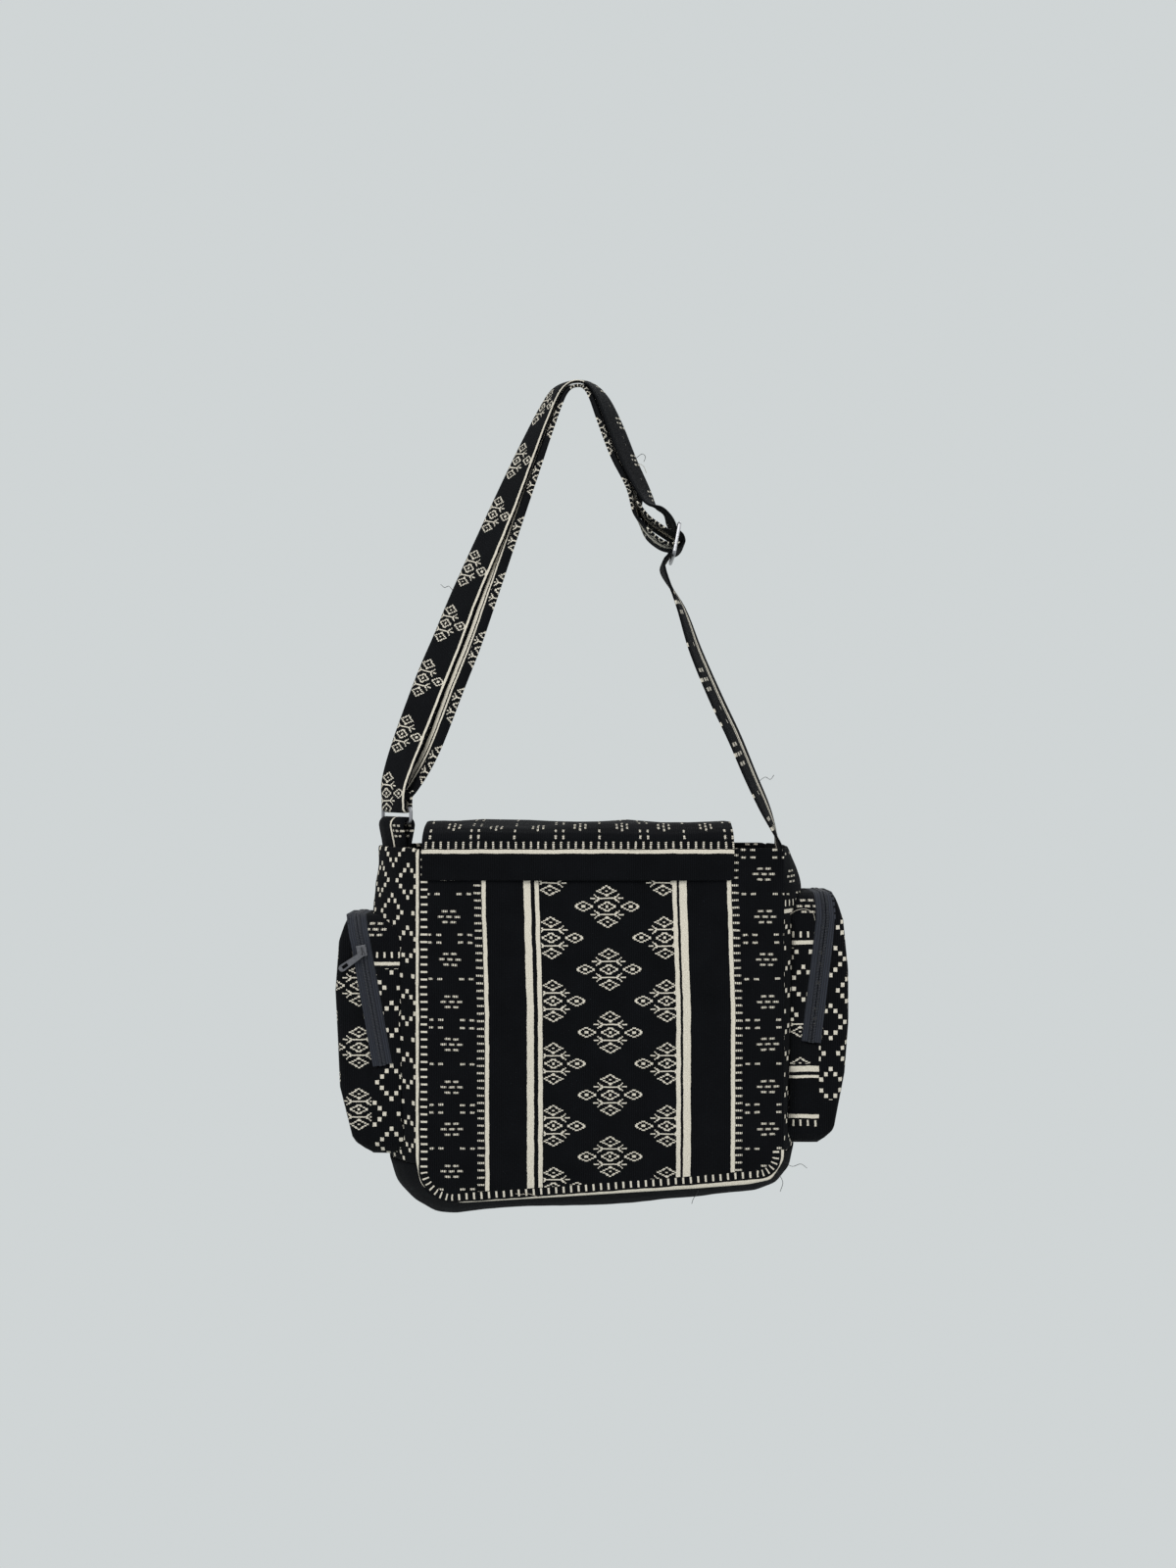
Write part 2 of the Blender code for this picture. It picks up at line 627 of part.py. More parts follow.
def buckle_row(up, out, lean=(0.0, 0.0)):
    place = BUCKLE_CENTRE + BUCKLE_UP * up + BUCKLE_OUT * out
    return (*place, *lean)


def running_rows():
    """Hand-placed route of the running layer: gusset, buckle, over the top, ring."""
    beside = -(WRAP_RADIUS + BUCKLE_PLAY)
    around = WRAP_RADIUS + LAYER_PITCH + GAP
    rows = [(0.1728, 0, -0.414, 0, 0), (0.1728, 0, -0.400, 0, 0), (0.1725, 0, -0.388, 0, 0),
            (0.1690, 0, -0.374, -0.12, -0.05), (0.1604, 0, -0.353, -0.28, -0.12),
            (0.1483, 0, -0.326, -0.32, -0.14), (0.1345, 0, -0.293, -0.32, -0.14),
            (0.1185, 0, -0.259, -0.32, -0.14), (0.1013, 0, -0.2186, -0.30, -0.12),
            (0.0888, 0, -0.182, -0.20, -0.08)]
    rows += [buckle_row(-0.024, -0.0060), buckle_row(-BUCKLE_PITCH, beside),
             buckle_row(-0.0096, -0.0022), buckle_row(-0.0072, 0.0015),
             buckle_row(-0.0046, 0.0047), buckle_row(0, around),
             buckle_row(0.0046, 0.0047), buckle_row(0.0072, 0.0015),
             buckle_row(0.0096, -0.0022), buckle_row(BUCKLE_PITCH, beside),
             buckle_row(0.0190, -0.0088), buckle_row(0.0260, -0.0150, (-0.15, -0.06))]
    rows += [(0.0625, 0, -0.0925, -0.34, -0.14), (0.0535, 0, -0.0760, -0.46, -0.19),
             (0.0426, 0, -0.0531, -0.49, -0.21), (0.0319, 0, -0.0259, -0.47, -0.23),
             (0.0216, 0, -0.0029, -0.36, -0.26), (0.0110, 0, 0.0090, -0.17, -0.33),
             (-0.0025, 0, 0.0114, 0.00, -0.34), (-0.0160, 0, 0.0053, 0.26, -0.33),
             (-0.0258, 0, -0.0102, 0.40, -0.26), (-0.0400, 0, -0.0413, 0.56, -0.24),
             (-0.0662, 0, -0.1035, 0.83, -0.34), (-0.0953, -0.001, -0.1708, 0.98, -0.40),
             (-0.1097, -0.003, -0.2084, 1.10, -0.43), (-0.1236, -0.005, -0.2428, 1.18, -0.44),
             (-0.1430, -0.0105, -0.2963, 1.12, -0.30), (-0.1532, -0.0152, -0.3291, 0.95, -0.12),
             ring_row(-1, 0.0085), ring_row(-1, 0.0030)]
    return rows + ring_wrap(math.radians(-90), math.radians(-9), RING_WRAP_ROWS)


def ring_row(side, height):
    place = RING_UPPER_BAR + RING_SIDE * (side * WRAP_RADIUS) + Vector((0, 0, height))
    return (*place, *RING_LEAN)


def ring_wrap(start_angle, end_angle, count):
    rows = []
    for i in range(count):
        angle = start_angle + (end_angle - start_angle) * i / (count - 1)
        place = RING_UPPER_BAR + RING_SIDE * (WRAP_RADIUS * math.sin(angle))
        place -= Vector((0, 0, WRAP_RADIUS * math.cos(angle)))
        rows.append((*place, *RING_LEAN))
    return rows


# Where the return layer lies against the running one: height on each side of the loop,
# distance between the layers, slip towards the inside of the loop
RETURN_LEFT = [(-0.3495, 0.0062, 0.0000), (-0.3440, 0.0066, 0.0000), (-0.3380, 0.0076, 0.0000),
               (-0.3291, 0.0092, 0.0035), (-0.2963, 0.0070, 0.0150), (-0.2428, 0.0042, 0.0175),
               (-0.2084, 0.0039, 0.0180), (-0.1708, 0.0038, 0.0175), (-0.1035, 0.0038, 0.0100),
               (-0.0413, 0.0040, 0.0075), (-0.0102, 0.0038, 0.0055), (0.0053, 0.0036, 0.0045),
               (0.0114, 0.0035, 0.0042)]
RETURN_RIGHT = [(0.0090, 0.0032, 0.0045), (-0.0029, 0.0032, 0.0055), (-0.0259, 0.0033, 0.0070),
                (-0.0531, 0.0034, 0.0070), (-0.0760, 0.0044, 0.0040)]


def return_rows(running):
    """Route of the return layer: ring, over the top under the running layer, buckle."""
    rows = ring_wrap(math.radians(9), math.radians(90), 5)
    hung = ribbon_frames(running)[:-PER_SPAN * RING_WRAP_ROWS]
    for heights, on_left in ((RETURN_LEFT, True), (RETURN_RIGHT, False)):
        for height, pitch, slip in heights:
            place, width, normal = min(
                (frame for frame in hung if (frame[0].x < -0.002) == on_left),
                key=lambda frame: abs(frame[0].z - height))
            inward = normal if normal.y > 0 else -normal
            spot = place + inward * pitch + width * slip
            rows.append((*spot, -width.x / width.y, -width.z / width.y))
    rows += [(0.0508, 0, -0.1020, -0.20, -0.08), (0.0550, 0, -0.1110, -0.08, -0.03),
             (0.0608, 0, -0.1195, 0, 0), (0.0688, 0, -0.1265, 0, 0), (0.0762, 0, -0.1300, 0, 0)]
    for degrees in (-90, -45, 0, 45, 90):
        angle = math.radians(degrees)
        rows.append(buckle_row(WRAP_RADIUS * math.sin(angle), WRAP_RADIUS * math.cos(angle)))
    rows += [(0.0770, 0, -0.1195, 0, 0), (0.0680, 0, -0.1135, 0, 0), (0.0600, 0, -0.1075, 0, 0),
             (0.0552, 0, -0.1003, -0.05, -0.02), (0.0524, 0, -0.0935, -0.15, -0.06)]
    return rows


def build_tab(material, collection):
    """Short doubled loop that holds the ring's lower bar, sewn inside the left gusset."""
    lower_bar = RING_UPPER_BAR - Vector((0, 0, RING_HEIGHT))
    top = lower_bar.z + WIRE + 0.0004
    radius = RING_SLACK + STRAP_THICK / 2
    bend = top - RING_SLACK
    closed = STRAP_THICK / 2 + GAP
    side = [(closed, TAB_BOTTOM), (closed, TAB_BOTTOM + 0.012), (closed, PANEL_TOP - 0.002),
            (closed + 0.0012, PANEL_TOP + 0.005), (radius - 0.0006, bend - 0.004)]
    profile = [(-u, z) for u, z in side]
    profile += [(-radius * math.cos(a), bend + radius * math.sin(a))
                for a in np.linspace(0, math.pi, 9)]
    profile += side[::-1]
    rows = []
    for u, z in profile:
        place = lower_bar + RING_SIDE * u
        rows.append((place.x, place.y, z, *RING_LEAN))
    frames = ribbon_frames(rows)
    return ribbon("strap_tab", frames, TAB_WIDTH, STRAP_THICK, material, collection)


def build_ring(material, collection):
    mesh = wire_loop("strap_ring", SLOT_WIDTH / 2 + WIRE, RING_HEIGHT / 2, WIRE_CORNER, WIRE)
    for vert in mesh.vertices:
        vert.co.z -= RING_HEIGHT / 2
    shade(mesh)
    matrix = Matrix.Rotation(-RING_TURN, 4, "Z")
    matrix.translation = RING_UPPER_BAR
    return add_object("strap_ring", mesh, material, collection, matrix)


def build_buckle(material, collection, cutters):
    mesh = wire_loop("strap_buckle", SLOT_WIDTH / 2 + WIRE, BUCKLE_PITCH, WIRE_CORNER, WIRE)
    shade(mesh)
    matrix = Matrix((Vector((0, 1, 0)), -BUCKLE_OUT, BUCKLE_UP)).transposed().to_4x4()
    matrix.translation = BUCKLE_CENTRE
    item = add_object("strap_buckle", mesh, material, collection, matrix)
    reach = SLOT_WIDTH / 2 + WIRE
    bar = cylinder_mesh("buckle_bar", WIRE * 0.98, (-reach, 0, 0), (reach, 0, 0), 12)
    return add_boolean(item, bar, "UNION", cutters)


def build():
    clear_scene()
    bag = make_collection("woven_shoulder_bag")
    cutters = make_collection("cutters")
    cloth = make_material("woven_black_and_cream_cotton", (0.030, 0.031, 0.036), 0.95)
    plain = make_material("plain_black_cotton", (0.014, 0.015, 0.018), 0.95)
    strap_cloth = make_material("strap_cotton", (0.034, 0.035, 0.040), 0.95)
    tape = make_material("navy_zip_tape", (0.022, 0.026, 0.040), 0.85)
    coil = make_material("navy_nylon_coil", (0.030, 0.034, 0.050), 0.55)
    metal = make_material("dark_zinc", (0.16, 0.17, 0.18), 0.40, 1.0)
    steel = make_material("nickel_plated_steel", (0.55, 0.55, 0.53), 0.25, 1.0)

    panel("back_panel", -1, cloth, bag)
    panel("front_panel", 1, cloth, bag)
    low = SEAM_DROP_LEFT / U_LENGTH
    high = 1 - SEAM_DROP_RIGHT / U_LENGTH
    half_gap = GUSSET_SEAM_GAP / 2 / U_LENGTH
    gusset("left_gusset", 0, low - half_gap, 16, cloth, bag)
    gusset("bottom_gusset", low + half_gap, high - half_gap, 28, plain, bag)
    gusset("right_gusset", high + half_gap, 1, 16, cloth, bag)
    build_flap(cloth, bag)

    for prefix, side, pocket in (("left", -1, LEFT_POCKET), ("right", 1, RIGHT_POCKET)):
        build_pocket(f"{prefix}_pocket", side, pocket, cloth, bag)
        frames = build_zip(prefix, side, pocket, tape, coil, bag)
        # The left slider stands at the top of the back arm, the right one is closed
        # down at the end of the front arm
        end, before = (frames[ARM_STEPS], frames[ARM_STEPS - 1]) if side < 0 else frames[:-3:-1]
        place = end[0] + (before[0] - end[0]).normalized() * SLIDER_REST
        matrix = slider_matrix((place, before[1], before[2]), -side)
        slider = build_slider(f"{prefix}_zip_slider", matrix, metal, bag, cutters)
        angle = PULL_ANGLE if side < 0 else 0
        build_pull(f"{prefix}_zip_pull", slider, side, angle, metal, bag, cutters)

    running = smooth_path(running_rows(), PER_SPAN)
    layer = ribbon_frames(running)
    ribbon("strap_running_layer", layer, STRAP_WIDTH, STRAP_THICK, strap_cloth, bag)
    layer = ribbon_frames(smooth_path(return_rows(running), PER_SPAN))
    ribbon("strap_return_layer", layer, STRAP_WIDTH, STRAP_THICK, strap_cloth, bag)
    build_tab(strap_cloth, bag)
    build_ring(steel, bag)
    build_buckle(steel, bag, cutters)


build()
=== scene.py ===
# %% [markdown]
# # A woven shoulder bag, hanging by its strap
# The bag is black and cream cotton: two panels, a strip of gusset round them, a flap, two
# zipped pockets and a long strap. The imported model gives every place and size. This lesson
# dresses it: each piece of cloth gets a finer mesh, a few soft creases and a woven pattern that
# is worked out by numbers, and the metal and the zips get finishes of their own.

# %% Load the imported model
import bpy
import math
import numpy as np
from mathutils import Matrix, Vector, noise


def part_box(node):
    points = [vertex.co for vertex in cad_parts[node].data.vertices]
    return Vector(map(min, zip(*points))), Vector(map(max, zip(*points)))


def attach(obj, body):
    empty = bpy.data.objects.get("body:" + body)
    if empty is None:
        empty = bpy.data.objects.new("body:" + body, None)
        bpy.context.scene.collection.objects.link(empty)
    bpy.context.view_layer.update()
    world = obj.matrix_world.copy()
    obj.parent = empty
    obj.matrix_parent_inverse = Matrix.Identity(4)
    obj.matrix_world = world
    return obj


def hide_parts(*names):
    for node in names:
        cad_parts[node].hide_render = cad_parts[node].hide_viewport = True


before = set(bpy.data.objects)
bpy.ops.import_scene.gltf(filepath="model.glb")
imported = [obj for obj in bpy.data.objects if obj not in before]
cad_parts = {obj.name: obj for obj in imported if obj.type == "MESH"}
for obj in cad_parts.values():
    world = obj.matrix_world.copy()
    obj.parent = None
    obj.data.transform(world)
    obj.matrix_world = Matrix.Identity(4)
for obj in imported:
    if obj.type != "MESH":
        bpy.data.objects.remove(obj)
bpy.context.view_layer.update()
MM = 0.001
WEAVE = 0.8 * MM             # one step of the pattern's own measure on the cloth

# %% [markdown]
# ## Camera, room and light
# The picture was taken straight on from about a metre, with a wide lens, so the pockets' sides
# show on both edges. The backdrop stands far behind, so that the bag can be seen from all round.

# %% Camera
CAMERA_PLACE = (0.0092, -0.995, -0.3326)
camera_data = bpy.data.cameras.new("picture_camera")
camera_data.sensor_fit = "VERTICAL"
camera_data.sensor_height = 36.0
camera_data.lens = 1187.5 / 1600 * camera_data.sensor_height
camera = bpy.data.objects.new("picture_camera", camera_data)
bpy.context.scene.collection.objects.link(camera)
camera.location = CAMERA_PLACE
camera.rotation_euler = (math.pi / 2, 0, 0)
bpy.context.scene.camera = camera
bpy.context.scene.view_settings.view_transform = "Standard"
print("lens", round(camera_data.lens, 2), "mm")

# %% Floor, backdrop and lamps
WALL_TONE = (0.63, 0.665, 0.67, 1)


def pale_surface(name, own_tone):
    """Paint that shows part of its own tone to the camera and to metal, the rest by light."""
    material = bpy.data.materials.new(name)
    material.use_nodes = True
    nodes, links = material.node_tree.nodes, material.node_tree.links
    paint = nodes["Principled BSDF"]
    paint.inputs["Base Color"].default_value = WALL_TONE
    paint.inputs["Roughness"].default_value = 0.9
    glow = nodes.new("ShaderNodeEmission")
    glow.inputs["Color"].default_value = WALL_TONE
    rays = nodes.new("ShaderNodeLightPath")
    seen = nodes.new("ShaderNodeMath")
    seen.operation = "MAXIMUM"
    part = nodes.new("ShaderNodeMath")
    part.operation = "MULTIPLY"
    part.inputs[1].default_value = own_tone
    mix = nodes.new("ShaderNodeMixShader")
    links.new(rays.outputs["Is Camera Ray"], seen.inputs[0])
    links.new(rays.outputs["Is Glossy Ray"], seen.inputs[1])
    links.new(seen.outputs[0], part.inputs[0])
    links.new(part.outputs[0], mix.inputs[0])
    links.new(paint.outputs[0], mix.inputs[1])
    links.new(glow.outputs[0], mix.inputs[2])
    links.new(mix.outputs[0], nodes["Material Output"].inputs["Surface"])
    return material


bpy.ops.object.select_all(action="DESELECT")
bpy.ops.mesh.primitive_plane_add(size=14, location=(0, 0, -2.6))
floor = bpy.context.active_object
floor.name = "pale_floor"
bpy.ops.mesh.primitive_plane_add(size=14, location=(0, 2.3, 2.0), rotation=(math.pi / 2, 0, 0))
backdrop = bpy.context.active_object
backdrop.name = "pale_backdrop"
for piece, own_tone in ((floor, 0.6), (backdrop, 1.0)):
    piece.data.materials.append(pale_surface(piece.name + "_paint", own_tone))

world = bpy.data.worlds.new("soft_room")
bpy.context.scene.world = world
world.use_nodes = True
world.node_tree.nodes["Background"].inputs["Color"].default_value = (0.93, 0.97, 1.0, 1)
world.node_tree.nodes["Background"].inputs["Strength"].default_value = 0.74


def lamp(name, place, size, watts):
    data = bpy.data.lights.new(name, "AREA")
    data.size = size
    data.energy = watts
    item = bpy.data.objects.new(name, data)
    bpy.context.scene.collection.objects.link(item)
    item.location = place
    aim = Vector((0.02, 0, -0.35)) - Vector(place)
    item.rotation_euler = aim.to_track_quat("-Z", "Y").to_euler()


lamp("window_light", (-1.5, -1.9, 1.3), 1.5, 38)
lamp("room_light", (1.7, -1.6, 0.6), 1.4, 15)
lamp("behind_light", (0.6, 1.8, 1.2), 1.4, 16)
print("lamps", len(bpy.data.lights))

# %% [markdown]
# ## Numbers in a shader
# A woven pattern repeats by counting threads. Blender's Math nodes can count too, but a long
# formula is hard to read as nodes, so a small class lets the lesson write sums and have the
# nodes made for it. Every pattern below is in steps of 0.8 mm on the cloth.

# %% A number that a shader works out


class Thread:
    """A shader number that can be added, compared and repeated like an ordinary one."""

    def __init__(self, board, socket):
        self.board = board
        self.socket = socket

    def work(self, operation, *others, first=None):
        node = self.board.nodes.new("ShaderNodeMath")
        node.operation = operation
        values = [self, *others] if first is None else [first, self]
        for slot, value in zip(node.inputs, values):
            if isinstance(value, Thread):
                self.board.links.new(value.socket, slot)
            else:
                slot.default_value = value
        return Thread(self.board, node.outputs[0])

    def __add__(self, other):
        return self.work("ADD", other)

    def __sub__(self, other):
        return self.work("SUBTRACT", other)

    def __rsub__(self, other):
        return self.work("SUBTRACT", first=other)

    def __mul__(self, other):
        return self.work("MULTIPLY", other)

    def __truediv__(self, other):
        return self.work("DIVIDE", other)

    def __abs__(self):
        return self.work("ABSOLUTE")

    def __or__(self, other):
        return self.work("MAXIMUM", other)

    def least(self, other):
        return self.work("MINIMUM", other)

    def cycle(self, length):
        return self.work("FLOORED_MODULO", length)

    def steps(self, size):
        return (self / size).work("FLOOR") * size + size / 2

    def near(self, middle, reach):
        return self.work("COMPARE", middle, reach)

    def between(self, low, high):
        return self.near((low + high) / 2, (high - low) / 2)

    def above(self, limit):
        return self.work("GREATER_THAN", limit)

    def below(self, limit):
        return self.work("LESS_THAN", limit)


def uv_threads(board, name):
    node = board.nodes.new("ShaderNodeUVMap")
    node.uv_map = name
    split = board.nodes.new("ShaderNodeSeparateXYZ")
    board.links.new(node.outputs[0], split.inputs[0])
    return Thread(board, split.outputs[0]), Thread(board, split.outputs[1])


def cloudy(board, across, along, scale, detail=2.0):
    """Soft noise from 0 to 1 on the cloth."""
    join = board.nodes.new("ShaderNodeCombineXYZ")
    board.links.new(across.socket, join.inputs[0])
    board.links.new(along.socket, join.inputs[1])
    node = board.nodes.new("ShaderNodeTexNoise")
    node.inputs["Scale"].default_value = scale
    node.inputs["Detail"].default_value = detail
    board.links.new(join.outputs[0], node.inputs["Vector"])
    return Thread(board, node.outputs["Fac"])


print("thread sums ready")

# %% [markdown]
# ## The motifs
# The weaver's motifs are small: a stack of three lozenges joined by branching bars, with one
# more lozenge at each side; clusters of two, three and two dashes; ladders of dashes along each
# band; and lozenges stepped out of squares. Each is a function of how far a point lies from the
# motif's middle.

# %% Motifs
LADDER = 7.62                # from one rung to the next
RUNG_LONG, RUNG_THICK = 3.4, 1.0       # half a rung's length and thickness
MOTIF_REPEAT = 63.5
MOTIF_COLUMNS = 57.6         # from the middle column of motifs to the next
FIRST_MOTIF, FIRST_SIDE_MOTIF = 924, 955.8
DOT_REPEAT = 86.33
FIRST_DOTS, DOTS_RISE = 935, 21
FLOAT_THICK = 1.05           # half the thickness of a dash in the clusters
SQUARE_WIDE, SQUARE_TALL = 4.9, 5.6    # from one square of a lozenge to the next
RING_ACROSS, RING_ALONG = 44, 64.8     # from one stepped lozenge to the next
# The middle and half width of each cream line and stripe across the cloth
CREAM_LINES = ((493.6, 2.0), (537.8, 3.5), (547.8, 2.2), (687.6, 2.2), (696.2, 3.8), (743.2, 2.1))


def beads(across):
    """The black warp crosses every cream float, so a dash reads as a row of beads."""
    return across.cycle(2.1).near(1.05, 0.76)


def lozenge(across, along):
    ring = across / 10.6 + along / 5.7
    dot = across.below(1.7) * along.below(0.9)
    return ring.near(0.84, 0.12) | dot


def branch_motif(across, along):
    """Three lozenges in a stack, joined by branching bars, one lozenge at each side."""
    across = abs(across.steps(1.3))
    along = abs(along.steps(1.25))
    stack = lozenge(across, along.least(abs(along - 15.7)))
    sides = lozenge(abs(across - 23.9), along)
    row = abs(along - 8.0)
    bar = row.below(0.7) * across.below(8.2)
    arms = (row - (across - 7.5) * 0.75).near(0, 0.72) * across.near(10.3, 2.9)
    tips = row.below(0.7) * across.near(14.6, 2.7)
    return stack | sides | bar | arms | tips


def branch_field(across, along, middle):
    """Motifs in staggered columns either side of a middle line."""
    side = across - middle
    half = MOTIF_REPEAT / 2
    first = (along - FIRST_MOTIF + half).cycle(MOTIF_REPEAT) - half
    second = (along - FIRST_SIDE_MOTIF + half).cycle(MOTIF_REPEAT) - half
    return branch_motif(side, first) | branch_motif(abs(side) - MOTIF_COLUMNS, second)


def rungs(run):
    """Short bars, one after another along a run."""
    return run.cycle(LADDER).near(LADDER / 2, RUNG_THICK)


def ladder(across, along, middle):
    return across.near(middle, RUNG_LONG) * rungs(along) * beads(across)


def dashes(across, shift=0.0):
    return (across + (4.2 + shift)).cycle(8.4).near(4.2, 2.8) * beads(across)


def dot_field(side, along):
    """Clusters of dashes with pairs of dashes between them."""
    turn = (along - FIRST_DOTS + DOTS_RISE).cycle(DOT_REPEAT)
    half_turn = turn.cycle(DOT_REPEAT / 2) - DOTS_RISE
    close = abs(side)
    cluster = half_turn.near(0, FLOAT_THICK) * dashes(side) * close.below(12.6)
    outer = abs(half_turn).near(5.5, FLOAT_THICK) * dashes(side, 4.2) * close.below(8.4)
    pairs = (close.near(11, 2.6) | close.near(21, 2.6)) * beads(side)
    rows = (turn.near(39.3, FLOAT_THICK) | turn.near(47.1, FLOAT_THICK)
            | turn.near(84.0, FLOAT_THICK))
    return cluster | outer | pairs * rows


def square_ring(across, along):
    """Lozenges stepped out of squares, one to a repeat."""
    side = (across + RING_ACROSS / 2).cycle(RING_ACROSS) - RING_ACROSS / 2
    rise = (along + RING_ALONG / 2).cycle(RING_ALONG) - RING_ALONG / 2
    column = ((side / SQUARE_WIDE) + 0.5).work("FLOOR")
    row = ((rise / SQUARE_TALL) + 0.5).work("FLOOR")
    here = (abs(side - column * SQUARE_WIDE).below(1.9)
            * abs(rise - row * SQUARE_TALL).below(2.1))
    return here * (abs(column) + abs(row)).near(3, 0.1)


def square_field(across, along):
    """The stepped lozenges in staggered columns."""
    return (square_ring(across, along)
            | square_ring(across + RING_ACROSS / 2, along + RING_ALONG / 2))


def banded_cloth(across, along):
    """The whole width of the cloth: ladders, dots, lines, wide stripes and branching motifs."""
    field = branch_field(across, along, 618.5) * across.between(551, 686)
    left = dot_field(across - 457.5, along) * across.between(435, 482)
    right = dot_field(across - 779, along) * across.between(754, 812)
    cream = field | left | right | ladder(across, along, 487.2) | ladder(across, along, 749.2)
    for middle, half_width in CREAM_LINES:
        cream = cream | across.near(middle, half_width)
    return cream


print("motifs ready")

# %% [markdown]
# ## The cloth's finish
# Cotton yarn has no gloss. Up close it shows ribs that run along the warp, and the cream yarn
# stands a little proud of the black. A little noise bends every line, because no woven line is
# straight, and the black is never one flat tone. The black is also painted a little lighter on
# each rib's crest and darker in its groove: painted shading of the ribs.

# %% The cloth's finish
BLACK_LOW = (0.0010, 0.0011, 0.0014, 1)
BLACK_HIGH = (0.0060, 0.0067, 0.0082, 1)
CREAM_LOW = (0.40, 0.36, 0.28, 1)
CREAM_HIGH = (0.84, 0.78, 0.66, 1)
LINE_BEND = 1.8              # how far slow noise bends a line, in steps
RIB, WEFT = 2.2, 1.5         # from one rib, and one weft thread, to the next


def blend_tones(board, amount, low, high):
    node = board.nodes.new("ShaderNodeMix")
    node.data_type = "RGBA"
    board.links.new(amount.socket, node.inputs["Factor"])
    for socket, tone in ((node.inputs["A"], low), (node.inputs["B"], high)):
        if isinstance(tone, tuple):
            socket.default_value = tone
        else:
            board.links.new(tone, socket)
    return node.outputs["Result"]


def woven(name, pattern, edge=False):
    """Cotton with a pattern(across, along), which gives 1 where the cloth is cream.

    With edge, the pattern is also given how far round the seam a point lies, and how far in.
    """
    material = bpy.data.materials.new(name)
    material.use_nodes = True
    board = material.node_tree
    cloth = board.nodes["Principled BSDF"]
    across, along = uv_threads(board, "weave")
    wave = cloudy(board, across, along, 0.055) - 0.5
    jitter = cloudy(board, along, across, 0.45, 1.0) - 0.5
    bent_across = across + wave * LINE_BEND + jitter * 0.8
    drift = cloudy(board, along, across, 0.05) - 0.5
    bent_along = along + drift * LINE_BEND + jitter * 0.6
    if edge:
        round_edge, from_edge = uv_threads(board, "edge")
        cream = pattern(bent_across, bent_along, round_edge, from_edge + wave * 2.0)
    else:
        cream = pattern(bent_across, bent_along)
    yarn = cloudy(board, across * 0.8, along * 2.2, 0.9, 1.0)
    cloud = cloudy(board, across, along, 0.03, 3.0)
    ribs_and_painted_rib_shade = (across * (2 * math.pi / RIB)).work("SINE")
    # Cloud and yarn vary the black at random; the ribs term is painted shading, lighter on each
    # rib's crest and darker in its groove.
    black = blend_tones(board, cloud * 0.6 + yarn * 0.4 + ribs_and_painted_rib_shade * 0.2 - 0.1, BLACK_LOW, BLACK_HIGH)
    pale = blend_tones(board, yarn * 1.9 - 0.4, CREAM_LOW, CREAM_HIGH)
    tone = blend_tones(board, cream, black, pale)
    board.links.new(tone, cloth.inputs["Base Color"])
    cloth.inputs["Roughness"].default_value = 1.0
    cloth.inputs["Specular IOR Level"].default_value = 0.08
    cloth.inputs["Sheen Weight"].default_value = 0.02
    threads = (along * (2 * math.pi / WEFT)).work("SINE")
    height = ribs_and_painted_rib_shade * 0.35 + threads * 0.12 + cream * 0.9 + yarn * 0.5
    bump = board.nodes.new("ShaderNodeBump")
    bump.inputs["Strength"].default_value = 0.55
    bump.inputs["Distance"].default_value = 0.0004
    board.links.new(height.socket, bump.inputs["Height"])
    board.links.new(bump.outputs[0], cloth.inputs["Normal"])
    return material


print("cloth finish ready")

# %% [markdown]
# ## Working on a piece of cloth
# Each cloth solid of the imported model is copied, its loose triangles are merged back into
# quads, and it is cut finer, so that it can crease. The creases are gentle noise that pushes
# both faces the same way, and the pattern is laid on with a UV map measured along the cloth.

# %% Helpers for cloth


def pick(piece):
    bpy.ops.object.select_all(action="DESELECT")
    piece.select_set(True)
    bpy.context.view_layer.objects.active = piece


def fine_copy(node, name, cuts, rounds=0):
    """A finer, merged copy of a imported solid."""
    piece = bpy.data.objects.new(name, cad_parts[node].data.copy())
    bpy.context.scene.collection.objects.link(piece)
    piece.data.materials.clear()
    pick(piece)
    bpy.ops.object.mode_set(mode="EDIT")
    bpy.ops.mesh.select_all(action="SELECT")
    bpy.ops.mesh.remove_doubles(threshold=0.00002)
    bpy.ops.mesh.tris_convert_to_quads(face_threshold=0.9, shape_threshold=0.9)
    bpy.ops.mesh.subdivide(number_cuts=cuts)
    bpy.ops.object.mode_set(mode="OBJECT")
    if rounds:
        smooth = piece.modifiers.new("Soften", "SUBSURF")
        smooth.levels = rounds
        smooth.render_levels = rounds
        bpy.ops.object.modifier_apply(modifier=smooth.name)
    bpy.ops.object.shade_smooth_by_angle(angle=math.radians(50))
    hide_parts(node)
    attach(piece, "bag")
    return piece


def crease(piece, push, size, depth, seed):
    """Pushes points by noise; push(point) gives the direction, as long as the push may be."""
    for vertex in piece.data.vertices:
        way = push(vertex.co)
        if way.length_squared:
            spot = vertex.co / size + Vector((seed, 0, 0))
            vertex.co += way * (noise.noise(spot) * depth)
    piece.data.update()


def corner_data(piece):
    """Places and face normals at every face corner, as arrays."""
    mesh = piece.data
    places = np.empty(len(mesh.vertices) * 3)
    mesh.vertices.foreach_get("co", places)
    corners = np.empty(len(mesh.loops), dtype=int)
    mesh.loops.foreach_get("vertex_index", corners)
    normals = np.empty(len(mesh.polygons) * 3)
    mesh.polygons.foreach_get("normal", normals)
    sizes = np.empty(len(mesh.polygons), dtype=int)
    mesh.polygons.foreach_get("loop_total", sizes)
    return places.reshape(-1, 3)[corners], np.repeat(normals.reshape(-1, 3), sizes, axis=0)


def lay_map(piece, name, across, along):
    layer = piece.data.uv_layers.new(name=name)
    layer.data.foreach_set("uv", np.stack([across, along], axis=1).ravel())


def steps_across(x):
    return 600 + (x - 9.2 * MM) / WEAVE


def steps_down(z):
    return 800 - (z + 332.6 * MM) / WEAVE


print("helpers ready")

